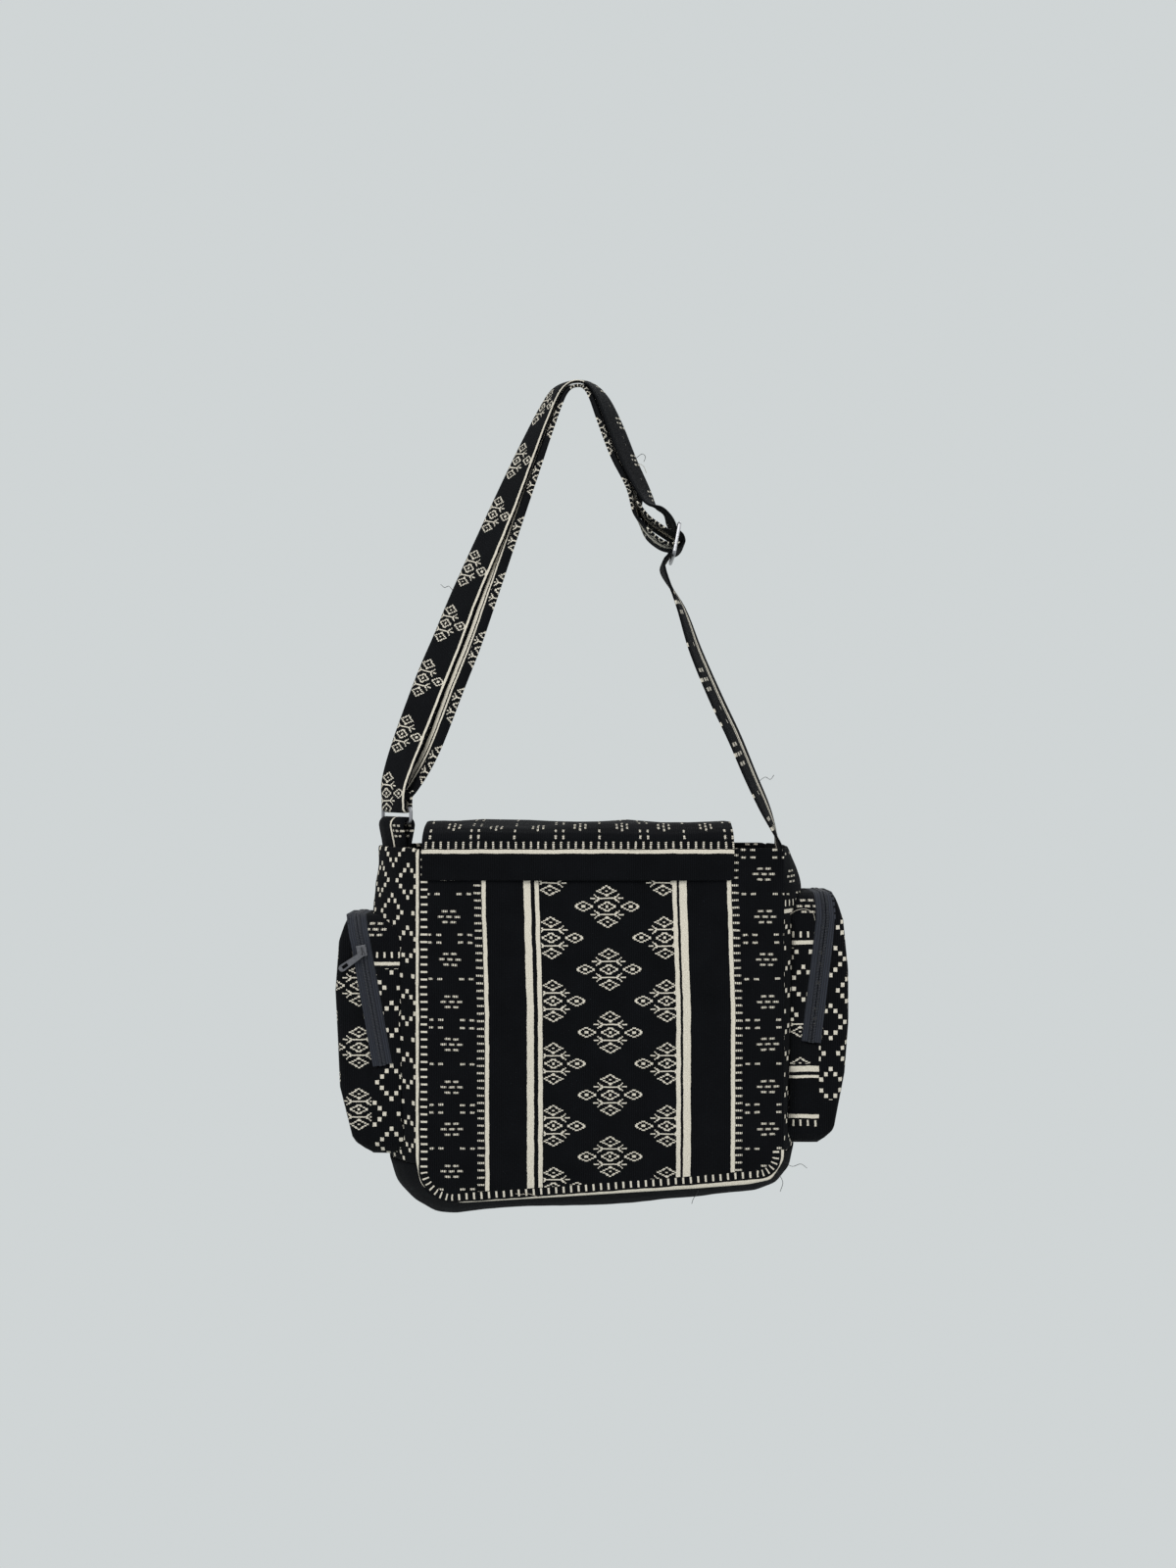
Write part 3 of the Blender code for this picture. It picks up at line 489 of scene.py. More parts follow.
# %% [markdown]
# ## The two panels
# The seam runs down the left, round the bottom and up the right. A cream line and a ladder of
# dashes follow it, so the panels carry a second map: how far round the seam a point lies, and
# how far in from it. Inside it, the cloth's bands run straight down.

# %% The seam's path
LEFT_X, RIGHT_X = -0.131, 0.169
MIDDLE_X, MIDDLE_Z = 0.019, -0.530
TOP_Z = -0.385
LOW_LEFT_Z, LOW_RIGHT_Z = TOP_Z - 0.291, TOP_Z - 0.272
LEFT_CORNER, RIGHT_CORNER = 0.030, 0.022


def seam_path():
    """Points down the left, round both lower corners and up the right."""
    points = [(LEFT_X, z) for z in np.linspace(TOP_Z, LOW_LEFT_Z + LEFT_CORNER, 60)]
    for angle in np.linspace(0, math.pi / 2, 20)[1:]:
        points.append((LEFT_X + LEFT_CORNER * (1 - math.cos(angle)),
                       LOW_LEFT_Z + LEFT_CORNER * (1 - math.sin(angle))))
    bottom_start, bottom_end = LEFT_X + LEFT_CORNER, RIGHT_X - RIGHT_CORNER
    for t in np.linspace(0, 1, 60)[1:]:
        points.append((bottom_start + t * (bottom_end - bottom_start),
                       LOW_LEFT_Z + t * (LOW_RIGHT_Z - LOW_LEFT_Z)))
    for angle in np.linspace(0, math.pi / 2, 20)[1:]:
        points.append((RIGHT_X - RIGHT_CORNER * (1 - math.sin(angle)),
                       LOW_RIGHT_Z + RIGHT_CORNER * (1 - math.cos(angle))))
    points += [(RIGHT_X, z) for z in np.linspace(LOW_RIGHT_Z + RIGHT_CORNER, TOP_Z, 60)[1:]]
    return np.array(points)


SEAM = seam_path()
SEAM_LENGTHS = np.concatenate([[0], np.cumsum(np.linalg.norm(np.diff(SEAM, axis=0), axis=1))])


def from_seam(x, z):
    """How far round the seam, and how far from it, in pattern steps."""
    best = np.full(len(x), 9.0)
    around = np.zeros(len(x))
    for i in range(len(SEAM) - 1):
        step = SEAM[i + 1] - SEAM[i]
        t = np.clip(((x - SEAM[i, 0]) * step[0] + (z - SEAM[i, 1]) * step[1]) / (step @ step), 0, 1)
        gap = np.hypot(x - SEAM[i, 0] - t * step[0], z - SEAM[i, 1] - t * step[1])
        closer = gap < best
        best[closer] = gap[closer]
        around[closer] = (SEAM_LENGTHS[i] + t * np.linalg.norm(step))[closer]
    return around / WEAVE, best / WEAVE


print("seam", round(SEAM_LENGTHS[-1] / MM), "mm")

# %% Back and front panels
BORDER_END = 745             # the border stops after the lower right corner
LEAN_START, LEAN_LENGTH, LEAN = 900, 130, 4.0
PANEL_FOOT_Z = -0.672
SEWN_FADE = 0.020            # creases fade out over this length at the seams


def panel_pattern(across, along, around, from_edge):
    lean = ((along - LEAN_START) / LEAN_LENGTH).work("MAXIMUM", 0).least(1.0) * LEAN
    edged = around.below(BORDER_END)
    border = (from_edge.below(3.0) | rungs(around) * from_edge.near(8.4, RUNG_LONG)) * edged
    inside = banded_cloth(across - lean, along) * (from_edge.above(12.5) | (1.0 - edged))
    return inside | border


panel_finish = woven("banded_cotton_panel", panel_pattern, edge=True)
for node, side, seed in (("back_panel", -1, 3.0), ("front_panel", 1, 8.0)):
    panel = fine_copy(node, node + "_cloth", 2, 1)

    def push(point):
        inset = min(point.x - LEFT_X, RIGHT_X - point.x, TOP_Z - point.z + SEWN_FADE / 2,
                    point.z - PANEL_FOOT_Z)
        return Vector((0, side * min(1.0, max(0.0, inset / SEWN_FADE)), 0))

    crease(panel, push, 0.055, 0.0016, seed)
    crease(panel, push, 0.020, 0.0006, seed + 5)
    places, _ = corner_data(panel)
    flip = places[:, 0] if side < 0 else 2 * MIDDLE_X - places[:, 0]
    lay_map(panel, "weave", steps_across(flip), steps_down(places[:, 2]))
    lay_map(panel, "edge", *from_seam(places[:, 0], places[:, 2]))
    panel.data.materials.append(panel_finish)
    print(panel.name, len(panel.data.polygons), "faces")

# %% [markdown]
# ## The gussets
# The side strips bow outwards, so the pattern is measured along the bow, not across it. They
# are cut from the part of the cloth that has stepped lozenges. The bottom strip is plain.

# %% Side and bottom gussets
BOW_HALF = 0.0447
LEFT_SWELL, RIGHT_SWELL = 0.042, 0.022
CREASE_REACH = 0.030         # creases fade out at this depth from the middle


def along_bow(y, swell):
    """Length along a bowed strip from its back seam to a depth."""
    t = np.linspace(-1, 1, 81)
    x = swell * (1 - t ** 2)
    length = np.concatenate([[0], np.cumsum(np.hypot(np.diff(t) * BOW_HALF, np.diff(x)))])
    return np.interp(y / BOW_HALF, t, length) / WEAVE


def left_gusset_pattern(across, along):
    return square_field(across - 12, along - 1094)


def right_gusset_pattern(across, along):
    low = square_field(across - 10, along - 1000) * along.above(938)
    high = dot_field(across - 20, along + 40) * along.below(914)
    line = along.near(930, 2.0)
    return low | high | line | rungs(across) * along.near(922, 3.2)


def plain_pattern(across, along):
    return (across * 0).above(1)


plain_finish = woven("plain_black_cotton", plain_pattern)
for node, pattern, swell, seed in (("left_gusset", left_gusset_pattern, LEFT_SWELL, 1.0),
                                   ("right_gusset", right_gusset_pattern, RIGHT_SWELL, 2.0),
                                   ("bottom_gusset", None, RIGHT_SWELL, 4.0)):
    strip = fine_copy(node, node + "_cloth", 2, 1)

    def push(point):
        fade = max(0.0, 1 - abs(point.y) / CREASE_REACH)
        rise = point.z - MIDDLE_Z if node == "bottom_gusset" else 0
        way = Vector((point.x - MIDDLE_X, 0, rise))
        return way.normalized() * fade

    crease(strip, push, 0.035, 0.0026, seed)
    crease(strip, push, 0.014, 0.0008, seed + 3)
    places, _ = corner_data(strip)
    lay_map(strip, "weave", along_bow(places[:, 1], swell), steps_down(places[:, 2]))
    strip.data.materials.append(woven(node + "_cotton", pattern) if pattern else plain_finish)
    print(strip.name, len(strip.data.polygons), "faces")

# %% [markdown]
# ## The flap
# The flap is one sheet: sewn across the back panel, over the open top and down the other side.
# Its bands run across the bag, so the map turns the cloth by a quarter, and it is measured
# along the sheet from the sewn edge.

# %% Flap
SEWN_STRIP = 0.026
FLAP_SEWN_Z = TOP_Z - SEWN_STRIP
FLAP_HALF, FLAP_RISE = 0.0490, 0.0195


def flap_pattern(across, along):
    """The bands from the sewn edge up, mirrored where the pattern turns back."""
    folded = abs(along - 97)
    return banded_cloth(folded + 426, across + 300)


flap = fine_copy("flap", "flap_cloth", 2, 1)


def push(point):
    if point.z > TOP_Z:
        return Vector((0, 0, 1.0))
    way = -1 if point.y < 0 else 1
    return Vector((0, way * (0.25 if point.y < 0 else 1.0), 0))


crease(flap, push, 0.040, 0.0030, 12.0)
crease(flap, push, 0.016, 0.0010, 15.0)
places, _ = corner_data(flap)
x, y, z = places.T
turns = np.linspace(math.pi, 0, 181)
arch = np.stack([FLAP_HALF * np.sign(np.cos(turns)) * np.abs(np.cos(turns)) ** 0.8,
                 FLAP_RISE * np.abs(np.sin(turns)) ** 0.8], axis=1)
arch_lengths = np.concatenate([[0], np.cumsum(np.linalg.norm(np.diff(arch, axis=0), axis=1))])
turn = np.arctan2(np.clip((z - TOP_Z) / FLAP_RISE, 0, 1.2) ** 1.25,
                  np.sign(y) * np.abs(y / FLAP_HALF) ** 1.25)
over = np.interp(math.pi - turn, math.pi - turns, arch_lengths)
along = np.where(z <= TOP_Z,
                 np.where(y < 0, z - FLAP_SEWN_Z, SEWN_STRIP + arch_lengths[-1] + TOP_Z - z),
                 SEWN_STRIP + over)
lay_map(flap, "weave", steps_across(x), along / WEAVE)
flap.data.materials.append(woven("banded_cotton_flap", flap_pattern))
print(flap.name, len(flap.data.polygons), "faces")

# %% [markdown]
# ## The side pockets
# A pocket is a box of cloth that stands off its gusset, with a zip let into its back edge. The
# map goes round the box like a strip of cloth: across its back, its outer face and its front.

# %% Pockets
POCKET_HALF = 0.037
CREASE_FADE = 0.030


def left_pocket_pattern(across, along):
    hash_dots = dot_field(across - 44, along - 15) * along.between(936, 966)
    line = along.near(985, 1.8)
    band = (rungs(across) * along.near(976, 3.0) | line) * across.below(46)
    squares = square_field(across - 27, along - 1042) * along.above(990) * across.below(46)
    motifs = branch_field(across + 558, along - 20, 618.5) * across.above(47) * along.above(966)
    return hash_dots | band | squares | motifs


def right_pocket_pattern(across, along):
    near_seam = across.below(38)
    hash_dots = dot_field(across - 27, along + 9) * along.between(912, 940)
    bars = rungs(across) * (along.near(955, 3.0) | along.near(1149, 3.2))
    lines = (along.near(963, 2.0) | along.near(1093, 3.0) | along.near(1101, 1.4)
             | along.near(1142, 2.0))
    squares = square_field(across - 22, along - 1005) * along.between(968, 1044)
    motifs = branch_field(across + 600, along + 12, 618.5) * along.between(1046, 1088)
    chain = square_field(across - 50, along - 980) * across.above(38) * along.between(935, 1125)
    seam_line = across.near(3.0, 0.7) * along.between(1104, 1162)
    return hash_dots | (bars | lines | squares | motifs) * near_seam | chain | seam_line


# How far out the cloth reaches at each height: the empty pocket falls in below its zip
SAG = {"left_pocket": [(-0.660, 0.034), (-0.641, 0.040), (-0.628, 0.052), (-0.607, 0.062),
                       (-0.570, 0.067), (-0.500, 0.0695), (-0.462, 0.066), (-0.440, 0.060)],
       "right_pocket": [(-0.650, 0.026), (-0.632, 0.032), (-0.618, 0.042), (-0.595, 0.050),
                        (-0.560, 0.055), (-0.500, 0.0565), (-0.450, 0.053), (-0.420, 0.045)]}
ZIP_KEEP = {"left_pocket": 0.057, "right_pocket": 0.041}
LOW_KEEP = 0.020             # below the zip, only the cloth nearest the seam is kept
ZIP_DEPTH = 0.135            # from a pocket's top to below its zip's end


def taper(pocket, node, side, seam_x):
    """Draws the outer part of a pocket in towards the gusset, but never the zip's own cloth."""
    heights, reaches = np.array(SAG[node]).T
    full = max(reaches)
    zip_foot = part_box(node)[1][2] - ZIP_DEPTH
    for vertex in pocket.data.vertices:
        out = abs(vertex.co.x - seam_x)
        keep = ZIP_KEEP[node] if vertex.co.z > zip_foot else LOW_KEEP
        if out > keep:
            reach = float(np.interp(vertex.co.z, heights, reaches))
            reach = max(reach, keep + 0.001)
            new_out = keep + (out - keep) * (reach - keep) / (full + 0.0006 - keep)
            vertex.co.x = seam_x + side * new_out
    pocket.data.update()


for node, side, seam_x, stand_off, pattern, seed in (
        ("left_pocket", -1, LEFT_X, 0.070, left_pocket_pattern, 21.0),
        ("right_pocket", 1, RIGHT_X, 0.057, right_pocket_pattern, 27.0)):
    pocket = fine_copy(node, node + "_cloth", 3)
    pocket_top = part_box(node)[1][2]

    def push(point):
        """Creases only low on the pocket and on its outer face, clear of the zip."""
        outer = abs(point.x - seam_x) > stand_off * 0.86
        low = max(0.0, min(1.0, (pocket_top - ZIP_DEPTH - point.z) / CREASE_FADE))
        fade = max(low, 0.5 if outer else 0.0)
        return Vector((side * 0.6, -0.4 if point.y < 0 else 0.4, 0)) * fade

    taper(pocket, node, side, seam_x)
    crease(pocket, push, 0.030, 0.0045, seed)
    crease(pocket, push, 0.013, 0.0014, seed + 4)
    places, normals = corner_data(pocket)
    x, y, z = places.T
    out = np.abs(x - seam_x)
    across = np.where(np.abs(normals[:, 0]) > 0.75, stand_off + y + POCKET_HALF,
                      np.where(y < 0, out, 2 * stand_off + 2 * POCKET_HALF - out))
    lay_map(pocket, "weave", across / WEAVE, steps_down(z))
    pocket.data.materials.append(woven(node + "_cotton", pattern))
    print(pocket.name, len(pocket.data.polygons), "faces")

# %% [markdown]
# ## The strap
# The strap is one length of folded cotton, 38 mm wide. Its route is a row of points with the
# way its width leans at each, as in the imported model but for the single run, which leans a
# little more, and a smooth curve through them gives the ribbon. Its edges are rounded, and the
# map runs across it and along it.

# %% The strap's route
RUNNING = [
    (.1728, 0, -.4140, 0, 0), (.1728, 0, -.4000, 0, 0), (.1725, 0, -.3880, 0, 0),
    (.1690, 0, -.3740, -.1600, -.0600), (.1604, 0, -.3530, -.3400, -.1400),
    (.1483, 0, -.3260, -.4000, -.1700), (.1345, 0, -.2930, -.4200, -.1800),
    (.1185, 0, -.2590, -.4200, -.1800), (.1013, 0, -.2186, -.3800, -.1500),
    (.0888, 0, -.1820, -.2600, -.1000), (.0733, 0, -.1498, 0, 0), (.0770, 0, -.1398, 0, 0),
    (.0796, 0, -.1363, 0, 0), (.0837, 0, -.1347, 0, 0), (.0873, 0, -.1327, 0, 0),
    (.0900, 0, -.1285, 0, 0), (.0890, 0, -.1236, 0, 0), (.0863, 0, -.1205, 0, 0),
    (.0831, 0, -.1175, 0, 0), (.0819, 0, -.1133, 0, 0), (.0783, 0, -.1070, 0, 0),
    (.0734, 0, -.0990, -.1500, -.0600), (.0625, 0, -.0925, -.3400, -.1400),
    (.0535, 0, -.0760, -.4600, -.1900), (.0426, 0, -.0531, -.4900, -.2100),
    (.0319, 0, -.0259, -.4700, -.2300), (.0216, 0, -.0029, -.3600, -.2600),
    (.0110, 0, .0090, -.1700, -.3300), (-.0025, 0, .0114, 0, -.3400),
    (-.0160, 0, .0053, .2600, -.3300), (-.0258, 0, -.0102, .4000, -.2600),
    (-.0400, 0, -.0413, .5600, -.2400), (-.0662, 0, -.1035, .8300, -.3400),
    (-.0953, -.0010, -.1708, .9800, -.4000), (-.1097, -.0030, -.2084, 1.1000, -.4300),
    (-.1236, -.0050, -.2428, 1.1800, -.4400), (-.1430, -.0105, -.2963, 1.1200, -.3000),
    (-.1532, -.0152, -.3291, .9500, -.1200), (-.1544, -.0160, -.3440, .8391, 0),
    (-.1544, -.0160, -.3495, .8391, 0), (-.1544, -.0160, -.3525, .8391, 0),
    (-.1542, -.0159, -.3536, .8391, 0), (-.1538, -.0155, -.3545, .8391, 0),
    (-.1532, -.0150, -.3552, .8391, 0), (-.1524, -.0143, -.3556, .8391, 0)]
RETURN = [
    (-.1516, -.0137, -.3556, .8391, 0), (-.1508, -.0130, -.3552, .8391, 0),
    (-.1502, -.0125, -.3545, .8391, 0), (-.1498, -.0121, -.3536, .8391, 0),
    (-.1496, -.0120, -.3525, .8391, 0), (-.1496, -.0120, -.3494, .8390, .0028),
    (-.1493, -.0118, -.3441, .8394, .0115), (-.1487, -.0107, -.3367, .9110, -.0324),
    (-.1444, -.0114, -.3315, .9576, -.0979), (-.1278, -.0150, -.3010, 1.1350, -.2699),
    (-.1081, -.0126, -.2481, 1.2112, -.3775), (-.0944, -.0116, -.2139, 1.1218, -.3831),
    (-.0810, -.0103, -.1764, .9887, -.3806), (-.0574, -.0049, -.1072, .8269, -.3471),
    (-.0333, -.0043, -.0442, .5594, -.2414), (-.0206, -.0033, -.0128, .4235, -.2133),
    (-.0126, -.0028, .0016, .2824, -.3096), (-.0019, -.0029, .0068, .0447, -.3340),
    (.0087, -.0031, .0051, -.1861, -.3206), (.0171, -.0037, -.0055, -.3824, -.2213),
    (.0262, -.0047, -.0282, -.4840, -.1953), (.0368, -.0046, -.0556, -.4904, -.2090),
    (.0484, -.0016, -.0785, -.4456, -.2193), (.0508, 0, -.1020, -.2000, -.0800),
    (.0550, 0, -.1110, -.0800, -.0300), (.0608, 0, -.1195, 0, 0), (.0688, 0, -.1265, 0, 0),
    (.0762, 0, -.1300, 0, 0), (.0829, 0, -.1303, 0, 0), (.0853, 0, -.1299, 0, 0),
    (.0865, 0, -.1279, 0, 0), (.0861, 0, -.1255, 0, 0), (.0841, 0, -.1243, 0, 0),
    (.0770, 0, -.1195, 0, 0), (.0680, 0, -.1135, 0, 0), (.0600, 0, -.1075, 0, 0),
    (.0552, 0, -.1003, -.0500, -.0200), (.0524, 0, -.0935, -.1500, -.0600)]
STRAP_WIDTH, STRAP_THICK = 0.038, 0.0026


def smooth_rows(rows, per_span):
    """Curve through rows of numbers that passes through each of them."""
    rows = np.array(rows, dtype=float)
    padded = np.vstack([2 * rows[0] - rows[1], rows, 2 * rows[-1] - rows[-2]])
    points = []
    for i in range(1, len(padded) - 2):
        a, b, c, d = padded[i - 1:i + 3]
        for step in range(per_span):
            t = step / per_span
            points.append(0.5 * (2 * b + (c - a) * t + (2 * a - 5 * b + 4 * c - d) * t ** 2
                                 + (3 * b - a - 3 * c + d) * t ** 3))
    points.append(rows[-1])
    return np.array(points)


def ribbon_frames(rows):
    """Place, width direction and face direction at each row."""
    frames = []
    for place, tangent, lean in zip(rows[:, :3], np.gradient(rows[:, :3], axis=0), rows[:, 3:]):
        along = Vector(tangent).normalized()
        width = Vector((lean[0], -1, lean[1]))
        width = (width - along * width.dot(along)).normalized()
        frames.append((Vector(place), width, along.cross(width).normalized()))
    return frames


def ribbon_piece(name, frames, outline):
    """Closed ribbon with a cross-section outline of (across, up) and a map along it."""
    points, maps, faces = [], [], []
    run = 0.0
    count = len(outline)
    for i, (place, width, face) in enumerate(frames):
        if i:
            run += (place - frames[i - 1][0]).length
        for across, up in outline:
            points.append(place + width * across + face * up)
            maps.append((across / WEAVE, run / WEAVE))
    for i in range(len(frames) - 1):
        for k in range(count):
            j = (k + 1) % count
            faces.append((count * i + k, count * i + j, count * (i + 1) + j, count * (i + 1) + k))
    faces.append(tuple(range(count))[::-1])
    faces.append(tuple(range(len(points) - count, len(points))))
    mesh = bpy.data.meshes.new(name)
    mesh.from_pydata(points, [], faces)
    piece = bpy.data.objects.new(name, mesh)
    bpy.context.scene.collection.objects.link(piece)
    pick(piece)
    bpy.ops.object.mode_set(mode="EDIT")
    bpy.ops.mesh.select_all(action="SELECT")
    bpy.ops.mesh.normals_make_consistent(inside=False)
    bpy.ops.object.mode_set(mode="OBJECT")
    corners = np.empty(len(mesh.loops), dtype=int)
    mesh.loops.foreach_get("vertex_index", corners)
    maps = np.array(maps)[corners]
    lay_map(piece, "weave", maps[:, 0], maps[:, 1])
    bpy.ops.object.shade_smooth_by_angle(angle=math.radians(60))
    return piece


def band_outline(width, thick, columns=14):
    """Cross-section of folded cotton: soft edges, a stitched groove near each."""
    half, deep = width / 2, thick / 2
    top = []
    for k in range(columns + 1):
        u = -1 + 2 * k / columns
        edge = 1 - abs(u)
        rise = deep * min(1.0, 0.35 + math.sqrt(edge / 0.16) * 0.65) if edge < 0.16 else deep
        top.append((u * half, rise * (0.86 if 0.17 < edge < 0.22 else 1.0)))
    return top + [(u, -v) for u, v in top[::-1]]


print("strap rows", len(RUNNING), len(RETURN))

# %% Strap layers


def running_pattern(across, along):
    """Single run with two lines, then dots up to the top, then a column of motifs."""
    single = along.below(340)
    rising = along.between(340, 600)
    falling = along.above(600)
    motifs = branch_motif(across + 11.5, (along + 12).cycle(MOTIF_REPEAT) - MOTIF_REPEAT / 2)
    lines = across.near(-9.5, 1.6) | across.near(-5.0, 0.9)
    few_dots = dot_field(across - 14, along * 0.5) * across.above(4)
    side_dots = dot_field(across + 15, along) * across.below(-6)
    edge = across.near(21.4, 1.3)
    return (lines | few_dots) * single | side_dots * rising | (motifs | edge) * falling


def return_pattern(across, along):
    motifs = branch_motif(across - 27, (along + 30).cycle(MOTIF_REPEAT) - MOTIF_REPEAT / 2)
    lines = across.near(3.6, 2.5) | across.near(9.2, 1.2)
    dots = dot_field(across + 12, along) * across.below(-2)
    return motifs * across.above(12.5) | lines | dots


for node, rows, pattern in (("strap_running_layer", RUNNING, running_pattern),
                            ("strap_return_layer", RETURN, return_pattern)):
    band = ribbon_piece(node + "_cloth", ribbon_frames(smooth_rows(rows, 6)),
                        band_outline(STRAP_WIDTH, STRAP_THICK))
    band.data.materials.append(woven(node + "_cotton", pattern))
    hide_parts(node)
    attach(band, "bag")
    print(band.name, len(band.data.polygons), "faces")

# %% Strap tab
RING_BAR = Vector((-0.1520, -0.0140, -0.3525))
BAR_WAY = Vector((0.6428, -0.7660, 0))


def tab_pattern(across, along):
    return across.near(2, 1.5) | dot_field(across - 13, along) * across.above(5)


tab = fine_copy("strap_tab", "strap_tab_cloth", 3)
places, _ = corner_data(tab)
offset = places - np.array(RING_BAR)
lay_map(tab, "weave", offset @ np.array(BAR_WAY) / WEAVE, steps_down(places[:, 2]))
tab.data.materials.append(woven("strap_tab_cotton", tab_pattern))
print(tab.name, len(tab.data.polygons), "faces")

# %% [markdown]
# ## The zips
# A zip is two ribbed tapes with a coil sewn along each, and the coils' turns hook into one
# another. The tapes follow the pocket's edge: up the back, over the top and down the front. One
# turn of the coil is modelled as a small bent bar and copied along.

# %% Zip route
POCKET_TOP_CORNER = 0.022
ZIP_ARM = 0.100
TAPE_HALF, TAPE_THICK, TAPE_SINK = 0.0080, 0.0006, 0.0004
COIL_OUTER, COIL_INNER, COIL_HIGH = 0.0028, 0.0001, 0.0010
TURN_PITCH, TURN_HALF = 0.00125, 0.00054
POCKETS = {"left": (-1, LEFT_X, -0.442, 0.029, 0.047, 0.055),
           "right": (1, RIGHT_X, -0.423, 0.024, 0.036, 0.037)}


def zip_route(side, seam_x, top, low_out, high_out, over_out):
    """Places and outward directions along a zip, from its back end to its front end."""
    radius = POCKET_TOP_CORNER
    high = top - radius
    low = high - ZIP_ARM
    rows = []
    for i in range(5):
        t = i / 5
        rows.append((-POCKET_HALF, low + ZIP_ARM * t, -1, 0, low_out + (high_out - low_out) * t))
    for i in range(7):
        angle = math.pi / 2 * i / 6
        rows.append((-POCKET_HALF + radius * (1 - math.cos(angle)), high + radius * math.sin(angle),
                     -math.cos(angle), math.sin(angle),
                     high_out + (over_out - high_out) * i / 6))
    flat = POCKET_HALF - radius
    rows += [(-flat * (1 - i / 3), top, 0, 1, over_out) for i in (1, 2)]
    rows = rows + [(0, top, 0, 1, over_out)] + [(-y, z, -a, b, o) for y, z, a, b, o in rows[::-1]]
    return np.array([(seam_x + side * o, y, z, a, b) for y, z, a, b, o in rows])


def zip_frames(side, route, per_span):
    rows = smooth_rows(route, per_span)
    frames = []
    for place, tangent, out in zip(rows[:, :3], np.gradient(rows[:, :3], axis=0), rows[:, 3:]):
        along = Vector(tangent).normalized()
        outward = Vector((0, out[0], out[1]))
        outward = (outward - along * outward.dot(along)).normalized()
        width = outward.cross(along).normalized() * side
        frames.append((Vector(place) - outward * TAPE_SINK, width, outward))
    return frames


print("zip route", len(zip_route(*POCKETS["left"])), "rows")

# %% Tape and coil finishes


def plain_finish_material(name, low, high, rough, metal, pitch, depth, scale=900):
    """Even material with a fine ribbed or brushed surface; a ribbed one also carries painted
    shading of its ribs in its colour.
    """
    material = bpy.data.materials.new(name)
    material.use_nodes = True
    board = material.node_tree
    skin = board.nodes["Principled BSDF"]
    place = board.nodes.new("ShaderNodeTexCoord")
    grain = board.nodes.new("ShaderNodeTexNoise")
    grain.inputs["Scale"].default_value = scale
    grain.inputs["Detail"].default_value = 3.0
    board.links.new(place.outputs["Object"], grain.inputs["Vector"])
    amount = Thread(board, grain.outputs["Fac"])
    height, tone = amount, amount
    if pitch:
        across, _ = uv_threads(board, "weave")
        ribs_and_painted_rib_shade = (across * (2 * math.pi / pitch)).work("SINE")
        height = ribs_and_painted_rib_shade + amount
        # With a pitch, the tone follows the ribs: painted shading, lighter on each rib's crest and
        # darker in its groove. The grain noise is the surface's own uneven tone.
        tone = ribs_and_painted_rib_shade * 0.4 + amount * 0.5 + 0.25
    board.links.new(blend_tones(board, tone, low, high), skin.inputs["Base Color"])
    board.links.new((amount * 0.25 + (rough - 0.12)).socket, skin.inputs["Roughness"])
    skin.inputs["Metallic"].default_value = metal
    bump = board.nodes.new("ShaderNodeBump")
    bump.inputs["Strength"].default_value = 0.5
    bump.inputs["Distance"].default_value = depth
    board.links.new(height.socket, bump.inputs["Height"])
    board.links.new(bump.outputs[0], skin.inputs["Normal"])
    return material


# The tape's colour has painted rib shading, lighter on the crests and darker in the grooves.
tape_finish = plain_finish_material("charcoal_tape", (0.004, 0.005, 0.008, 1),
                                    (0.022, 0.026, 0.038, 1), 0.9, 0.0, 2.4, 0.0005)
coil_finish = plain_finish_material("charcoal_nylon", (0.007, 0.008, 0.012, 1),
                                    (0.022, 0.025, 0.034, 1), 0.55, 0.0, 0, 0.0001)
print("zip finishes ready")

# %% Tapes and coils


def coil_turns(name, frames, low, high):
    """Small bent bars set across one coil, one for every turn."""
    points, faces = [], []
    gone, wait = 0.0, 0.0
    profile = [(low, -0.4), (low + 0.0003, 0.75), ((low + high) / 2, 1.0), (high - 0.0003, 0.7),
               (high, -0.4)]
    for (a, width, out), (b, _, _) in zip(frames, frames[1:]):
        step = b - a
        while wait <= gone + step.length:
            middle = a + step * ((wait - gone) / step.length)
            way = step.normalized()
            start = len(points)
            for across, up in profile:
                for shift in (-TURN_HALF, 0.0, TURN_HALF):
                    rise = up * COIL_HIGH * (1.0 if shift == 0 else 0.55)
                    points.append(middle + width * across + out * rise + way * shift)
            for i in range(len(profile) - 1):
                for k in range(2):
                    c = start + 3 * i + k
                    faces.append((c, c + 1, c + 4, c + 3))
            wait += TURN_PITCH
        gone += step.length
    mesh = bpy.data.meshes.new(name)
    mesh.from_pydata(points, [], faces)
    piece = bpy.data.objects.new(name, mesh)
    bpy.context.scene.collection.objects.link(piece)
    solid = piece.modifiers.new("Wall", "SOLIDIFY")
    solid.thickness = 0.0002
    pick(piece)
    bpy.ops.object.modifier_apply(modifier=solid.name)
    bpy.ops.object.shade_smooth()
    return piece


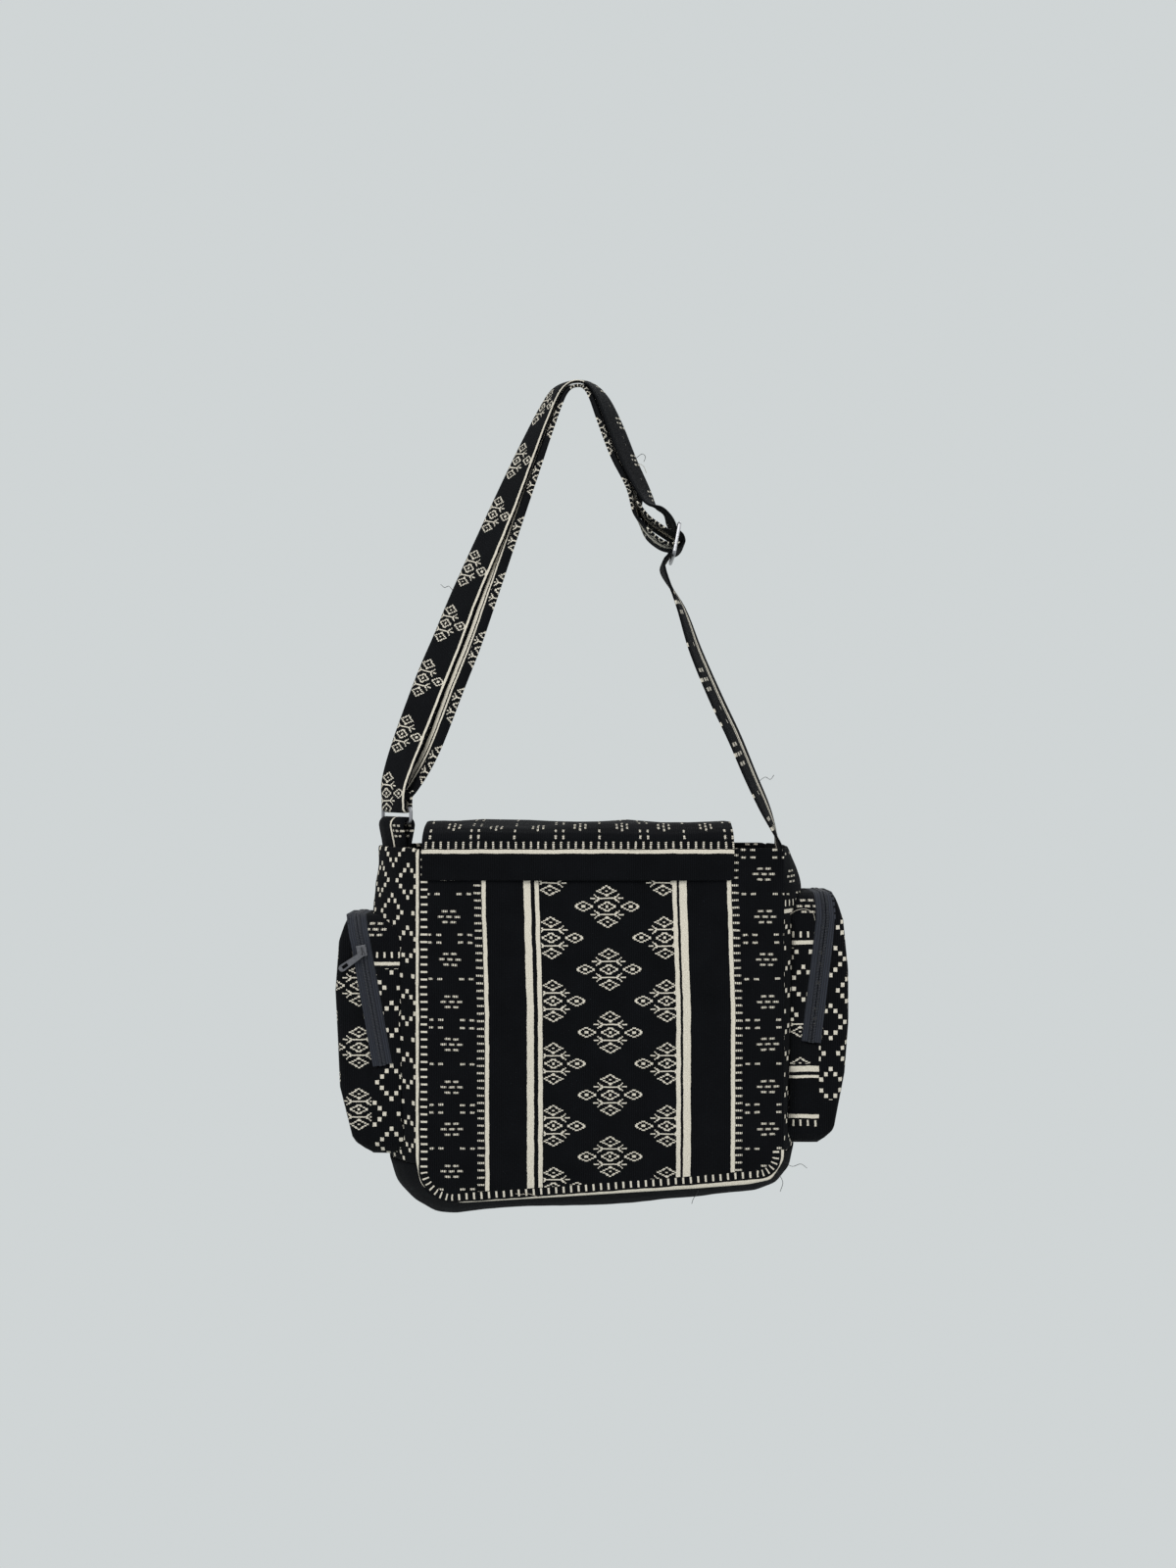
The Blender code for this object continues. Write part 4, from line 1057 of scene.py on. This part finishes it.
for prefix, numbers in POCKETS.items():
    side = numbers[0]
    frames = zip_frames(side, zip_route(*numbers), 4)
    for label, low, high in (("inner", -TAPE_HALF, -COIL_OUTER), ("outer", COIL_OUTER, TAPE_HALF)):
        thick = TAPE_THICK / 2
        outline = [(low + (high - low) * k / 5, thick) for k in range(6)]
        outline += [(u, -v) for u, v in outline[::-1]]
        tape = ribbon_piece(f"{prefix}_zip_tape_{label}_cloth", frames, outline)
        tape.data.materials.append(tape_finish)
        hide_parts(f"{prefix}_zip_tape_{label}")
        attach(tape, "bag")
    for label, low, high in (("inner", -COIL_OUTER, -COIL_INNER),
                             ("outer", COIL_INNER, COIL_OUTER)):
        turns = coil_turns(f"{prefix}_zip_coil_{label}_turns", frames, low, high)
        turns.data.materials.append(coil_finish)
        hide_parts(f"{prefix}_zip_coil_{label}")
        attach(turns, "bag")
    print(prefix, "zip, faces", len(turns.data.polygons))

# %% [markdown]
# ## Loose threads
# Woven cotton sheds thread ends along its cut edges. Each is a thin bent tube that starts
# in the cloth.

# %% Loose threads
THREAD_RADIUS = 0.00022
BLACK_THREADS = [
    [(-.1074, .0113, -.1656), (-.1112, .0110, -.1616), (-.1146, .0100, -.1630),
     (-.1180, .0100, -.1602)],
    [(.0504, .0160, -.0500), (.0560, .0150, -.0462), (.0590, .0140, -.0490),
     (.0576, .0140, -.0532)],
    [(.1576, .0160, -.3304), (.1630, .0156, -.3266), (.1674, .0150, -.3286),
     (.1706, .0150, -.3248)],
    [(.1000, -.0455, -.6590), (.0985, -.0475, -.6650), (.0950, -.0480, -.6700),
     (.0936, -.0480, -.6742)],
    [(.1670, -.0450, -.6390), (.1750, -.0470, -.6440), (.1826, -.0462, -.6424),
     (.1880, -.0450, -.6462)],
    [(.1620, -.0455, -.6470), (.1676, -.0480, -.6560), (.1656, -.0480, -.6642)]]
CREAM_THREADS = [
    [(-.0548, -.0470, -.6640), (-.0470, -.0487, -.6664), (-.0390, -.0488, -.6658),
     (-.0308, -.0480, -.6690)],
    [(.1754, -.0370, -.4400), (.1810, -.0392, -.4362), (.1880, -.0394, -.4354),
     (.1940, -.0390, -.4385), (.1960, -.0370, -.4448)],
    [(.0516, .0150, -.0540), (.0572, .0140, -.0570), (.0598, .0140, -.0630)]]


def thread_mesh(name, routes):
    """Thin six-sided tubes along smooth routes, closed at both ends, in one mesh."""
    points, faces = [], []
    for route in routes:
        rows = smooth_rows(route, 6)
        start = len(points)
        for place, tangent in zip(rows, np.gradient(rows, axis=0)):
            along = Vector(tangent).normalized()
            width = along.orthogonal().normalized()
            other = along.cross(width)
            for k in range(6):
                turn = 2 * math.pi * k / 6
                points.append(Vector(place) + (width * math.cos(turn) + other * math.sin(turn))
                              * THREAD_RADIUS)
        for i in range(len(rows) - 1):
            for k in range(6):
                a, b = start + 6 * i + k, start + 6 * i + (k + 1) % 6
                faces.append((a, b, b + 6, a + 6))
        faces.append(tuple(range(start, start + 6))[::-1])
        faces.append(tuple(range(len(points) - 6, len(points))))
    mesh = bpy.data.meshes.new(name)
    mesh.from_pydata(points, [], faces)
    piece = bpy.data.objects.new(name, mesh)
    bpy.context.scene.collection.objects.link(piece)
    return piece


for name, routes, low, high in (
        ("loose_black_threads", BLACK_THREADS, (0.004, 0.004, 0.005, 1), (0.02, 0.02, 0.02, 1)),
        ("loose_cream_threads", CREAM_THREADS, (0.30, 0.27, 0.21, 1), (0.55, 0.50, 0.42, 1))):
    ends = thread_mesh(name, routes)
    ends.data.materials.append(plain_finish_material(name + "_yarn", low, high, 0.95, 0.0, 0,
                                                     0.0001))
    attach(ends, "bag")
    print(name, len(ends.data.polygons), "faces")

# %% [markdown]
# ## The metal
# The ring and the buckle are bent wire with nickel plating, and the sliders and pulls are
# smaller castings with a darker plating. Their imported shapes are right, so they only get a
# finish: bright metal with a fine brushed grain.

# %% Metal
nickel = plain_finish_material("nickel_wire", (0.22, 0.22, 0.23, 1), (0.40, 0.40, 0.41, 1),
                               0.34, 1.0, 0, 0.00005, 700)
gunmetal = plain_finish_material("gunmetal_plate", (0.10, 0.10, 0.11, 1), (0.24, 0.24, 0.25, 1),
                                 0.40, 1.0, 0, 0.00005, 700)
METAL = {"strap_ring": nickel, "strap_buckle": nickel,
         "left_zip_slider": gunmetal, "left_zip_pull": gunmetal,
         "right_zip_slider": gunmetal, "right_zip_pull": gunmetal}
for node, finish in METAL.items():
    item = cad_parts[node]
    item.data.materials.clear()
    item.data.materials.append(finish)
print("metal pieces", len(METAL))
